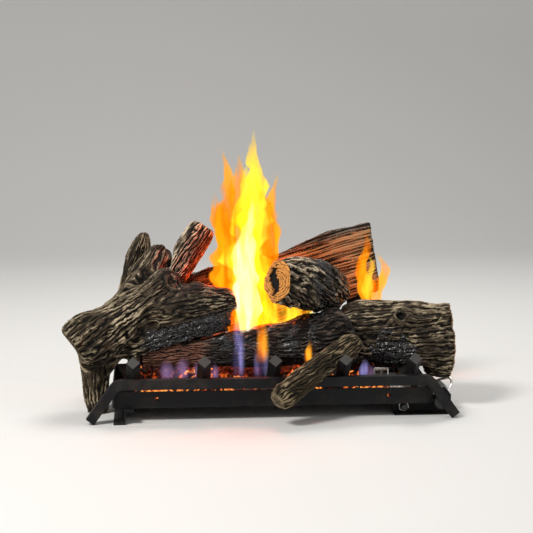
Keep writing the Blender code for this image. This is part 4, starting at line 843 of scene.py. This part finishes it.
# Ember beds: torn mineral wool and crumbled refractory heaped over the burner tubes. The lumps are ash grey
# outside and glow orange in the gaps between them, where the gas comes through.
dark_ash = (0.035, 0.03, 0.028, 1)
pale_ash = (0.26, 0.23, 0.21, 1)
glow_edge = (0.9, 0.10, 0.01, 1)
glow_middle = (1.0, 0.42, 0.08, 1)
glowing_wool = (0.5, 0.1, 0.02, 1)
no_glow = (0, 0, 0, 1)
ember_wool, tree, shader, _ = new_finish("ember wool")
place = add_node(tree, "TexCoord").outputs["Object"]
gapness = add_node(tree, "Attribute", attribute_name="glow").outputs["Fac"]
fluff = mottle(tree, place, 700.0, 4.0, 0.75)
soot = colour_mix(tree, stepped(tree, fluff, 0.35, 0.7), dark_ash, pale_ash)
hot = colour_mix(tree, stepped(tree, gapness, 0.3, 1.0), glow_edge, glow_middle)
ragged_gap = total(tree, gapness, stepped(tree, fluff, 0.3, 0.7, -0.2, 0.2))
glowing = stepped(tree, ragged_gap, 0.1, 0.9)
bump = add_node(tree, "Bump", {"Height": fluff, "Distance": 0.0015})
tree.links.new(colour_mix(tree, glowing, soot, glowing_wool), shader.inputs["Base Color"])
tree.links.new(colour_mix(tree, glowing, no_glow, hot), shader.inputs["Emission Color"])
tree.links.new(bump.outputs["Normal"], shader.inputs["Normal"])
shader.inputs["Emission Strength"].default_value = 1.0
shader.inputs["Roughness"].default_value = 0.95

lump_size = 0.011
small_lump_size = 0.005
gap_depth = 0.0055
vent_spacing = (0.045, 0.03, 0.03)
for node, seed in (("front_ember_bed", 20), ("rear_ember_bed", 21)):
    mesh = round_copy(node, node + "_wool", voxel=0.0045, rounds=3)
    points, ways = mesh_arrays(mesh)
    lump = np.abs(swell(points / lump_size, seed))
    lump = np.clip((lump + 0.5 * np.abs(swell(points / small_lump_size, seed + 2))) / 0.55, 0, 1)
    gas_vents = smooth_share(swell(points / vent_spacing, seed + 5), -0.25, 0.30)
    glow = (1 - smooth_share(lump, 0.15, 0.75)) * gas_vents
    carve(mesh, points, ways, gap_depth * (1 - lump), {"glow": glow})
    place_skin(mesh, ember_wool, node, "set")


# Flames, which aren't part of the set either: they show the log set burning, as the photograph does. Each is
# a closed tongue of glowing gas with streaks in it. The tongues overlap, so that the middle is the hottest.
def gas(name, thin_glow, glow, tint, density, blank=0.32, soft=False):
    """Glowing gas that fills a closed tongue in rising streaks and tints what is behind it. Soft gas fades
    out toward the tongue's sides and ends."""
    streak_scale = (75.0, 75.0, 17.0)
    tinting = 2.6
    material, tree, shader, output = new_finish(name)
    tree.nodes.remove(shader)
    place = add_node(tree, "TexCoord").outputs["Object"]
    rising = add_node(tree, "VectorMath", {0: place, 1: streak_scale}, operation="MULTIPLY").outputs[0]
    values = {"Vector": rising, "Scale": 1.0, "Detail": 3.0, "Distortion": 0.6}
    streak = add_node(tree, "TexNoise", values).outputs["Fac"]
    thick = stepped(tree, streak, blank, 0.62, 0.12 * density, density)
    colour = colour_mix(tree, stepped(tree, streak, 0.42, 0.60), (*thin_glow, 1), (*glow, 1))
    if soft:
        in_tongue = add_node(tree, "TexCoord").outputs["Generated"]
        inside = add_node(tree, "SeparateXYZ", {"Vector": in_tongue}).outputs
        aside = calculated(tree, "ABSOLUTE", calculated(tree, "SUBTRACT", inside["X"], 0.5), 0.0)
        thick = product(tree, thick, stepped(tree, aside, 0.10, 0.42, 1.0, 0.0))
        thick = product(tree, thick, stepped(tree, inside["Z"], 0.45, 0.95, 1.0, 0.0))
        thick = product(tree, thick, stepped(tree, inside["Z"], 0.0, 0.25))
    tinted = product(tree, thick, tinting)
    absorbing = add_node(tree, "VolumeAbsorption", {"Color": (*tint, 1), "Density": tinted})
    shining = add_node(tree, "Emission", {"Color": colour, "Strength": thick})
    both = add_node(tree, "AddShader", {0: absorbing.outputs[0], 1: shining.outputs[0]})
    tree.links.new(both.outputs[0], output.inputs["Volume"])
    return material


def tongue(name, foot, tip, width, depth, fill, seed, lean=0.010, base=0.55):
    """A flame's tongue, widest in its lower half, which wavers and frays as it rises from foot to tip."""
    foot, tip = Vector(foot), Vector(tip)
    form = bmesh.new()
    sides, steps = 24, 36
    widest = 0.3
    rings = []
    for step in range(steps + 1):
        share = step / steps
        if share < widest:
            taper = base + (1 - base) * math.sin(math.pi * (share / (2 * widest)))
        else:
            taper = max(0.02, 1 - ((share - widest) / (1 - widest)) ** 1.5)
        middle = foot.lerp(tip, share)
        rise = min(1, (middle.z - foot.z) / 0.06)
        sway = noise.noise(Vector((seed, 0.5, middle.z / 0.05)))
        middle.x += lean * share * math.sin(7 * share + seed) + 0.45 * width * rise * sway
        left, right = (1 + 0.7 * rise * noise.noise(Vector((seed, edge, middle.z / 0.017)))
                       for edge in (5.5, 9.5))
        ring = []
        for i in range(sides):
            turn = 2 * math.pi * i / sides
            fray = left + (right - left) * (0.5 + 0.5 * math.cos(turn))
            ring.append(form.verts.new((middle.x + width * taper * math.cos(turn) * fray,
                                        middle.y + depth * taper * math.sin(turn), middle.z)))
        rings.append(ring)
    for lower, upper in zip(rings, rings[1:]):
        for i in range(sides):
            form.faces.new((lower[i], lower[(i + 1) % sides], upper[(i + 1) % sides], upper[i]))
    form.faces.new(rings[0][::-1])
    form.faces.new(rings[-1])
    mesh = bpy.data.meshes.new(name)
    form.to_mesh(mesh)
    form.free()
    new_piece(name, mesh, fill)


orange_gas = gas("orange flame", thin_glow=(1.0, 0.20, 0.0), glow=(1.0, 0.52, 0.02), tint=(1.0, 0.62, 0.0),
                 density=115)
yellow_gas = gas("yellow flame", thin_glow=(1.0, 0.46, 0.02), glow=(1.0, 0.74, 0.10), tint=(1.0, 0.88, 0.25),
                 density=110)
white_gas = gas("white flame", thin_glow=(1.0, 0.90, 0.55), glow=(1.0, 0.96, 0.85), tint=(1.0, 0.95, 0.85),
                density=120, blank=0.22)
soft_gas = gas("small orange flame", thin_glow=(1.0, 0.24, 0.0), glow=(1.0, 0.56, 0.06),
               tint=(1.0, 0.75, 0.3), density=150, soft=True)
blue_gas = gas("blue flame", thin_glow=(0.36, 0.30, 0.80), glow=(0.48, 0.44, 0.95), tint=(0.9, 0.9, 1.0),
               density=56, blank=0.40, soft=True)
faint_gas = gas("faint flame", thin_glow=(0.62, 0.26, 0.50), glow=(0.62, 0.40, 0.80), tint=(0.95, 0.9, 1.0),
                density=30, blank=0.38, soft=True)

# Each tongue's foot, tip, half width, half depth, gas and seed.
tongue("flame_left", (-0.026, -0.016, 0.112), (-0.036, -0.004, 0.384), 0.034, 0.016, orange_gas, 1)
tongue("flame_middle", (-0.010, -0.018, 0.112), (-0.014, -0.002, 0.420), 0.032, 0.018, yellow_gas, 2)
tongue("flame_right", (0.002, -0.014, 0.112), (0.004, -0.004, 0.350), 0.024, 0.015, orange_gas, 3)
tongue("flame_edge", (-0.038, -0.012, 0.150), (-0.060, -0.002, 0.330), 0.024, 0.012, orange_gas, 4)
tongue("flame_wisp_1", (0.004, -0.010, 0.225), (0.024, -0.004, 0.356), 0.011, 0.007, orange_gas, 14,
       lean=0.004)
tongue("flame_wisp_2", (0.004, -0.010, 0.180), (0.027, -0.004, 0.302), 0.012, 0.007, orange_gas, 15,
       lean=0.004)
tongue("flame_wisp_3", (-0.040, -0.008, 0.260), (-0.052, -0.002, 0.392), 0.012, 0.008, orange_gas, 16,
       lean=0.006)
tongue("flame_low", (0.030, -0.010, 0.108), (0.028, -0.004, 0.180), 0.054, 0.012, yellow_gas, 5, base=1.0)
tongue("flame_body", (-0.016, -0.020, 0.114), (-0.018, -0.010, 0.372), 0.030, 0.016, yellow_gas, 6)
tongue("flame_core", (-0.018, -0.033, 0.116), (-0.022, -0.024, 0.318), 0.021, 0.008, white_gas, 7)
tongue("back_flame", (0.181, 0.062, 0.135), (0.165, 0.062, 0.262), 0.014, 0.008, orange_gas, 8)
tongue("back_flame_core", (0.182, 0.056, 0.138), (0.174, 0.056, 0.228), 0.009, 0.005, yellow_gas, 9)
tongue("back_flame_edge", (0.192, 0.064, 0.140), (0.198, 0.064, 0.228), 0.010, 0.006, orange_gas, 10)

burner_y = -0.0776
burner_foot = 0.054
soft_foot = 0.076
half_depth = 0.006
drift = 0.002
# Each small flame's place along the burner, its tip's height, its half width and its gas.
burner_flames = (
    (-0.140, 0.092, 0.018, faint_gas), (-0.118, 0.100, 0.016, faint_gas), (-0.096, 0.092, 0.015, faint_gas),
    (-0.074, 0.086, 0.012, faint_gas), (-0.035, 0.165, 0.013, blue_gas), (-0.002, 0.130, 0.015, blue_gas),
    (-0.002, 0.165, 0.013, soft_gas), (-0.002, 0.150, 0.008, soft_gas), (0.067, 0.118, 0.008, soft_gas),
    (0.150, 0.088, 0.011, blue_gas), (0.158, 0.080, 0.009, faint_gas),
)
for number, (x, top, width, fill) in enumerate(burner_flames):
    low = soft_foot if fill is soft_gas else burner_foot
    tongue(f"burner_flame_{number}", (x, burner_y, low), (x + drift, burner_y, top), width, half_depth, fill,
           20 + number, lean=0.003, base=0.75)
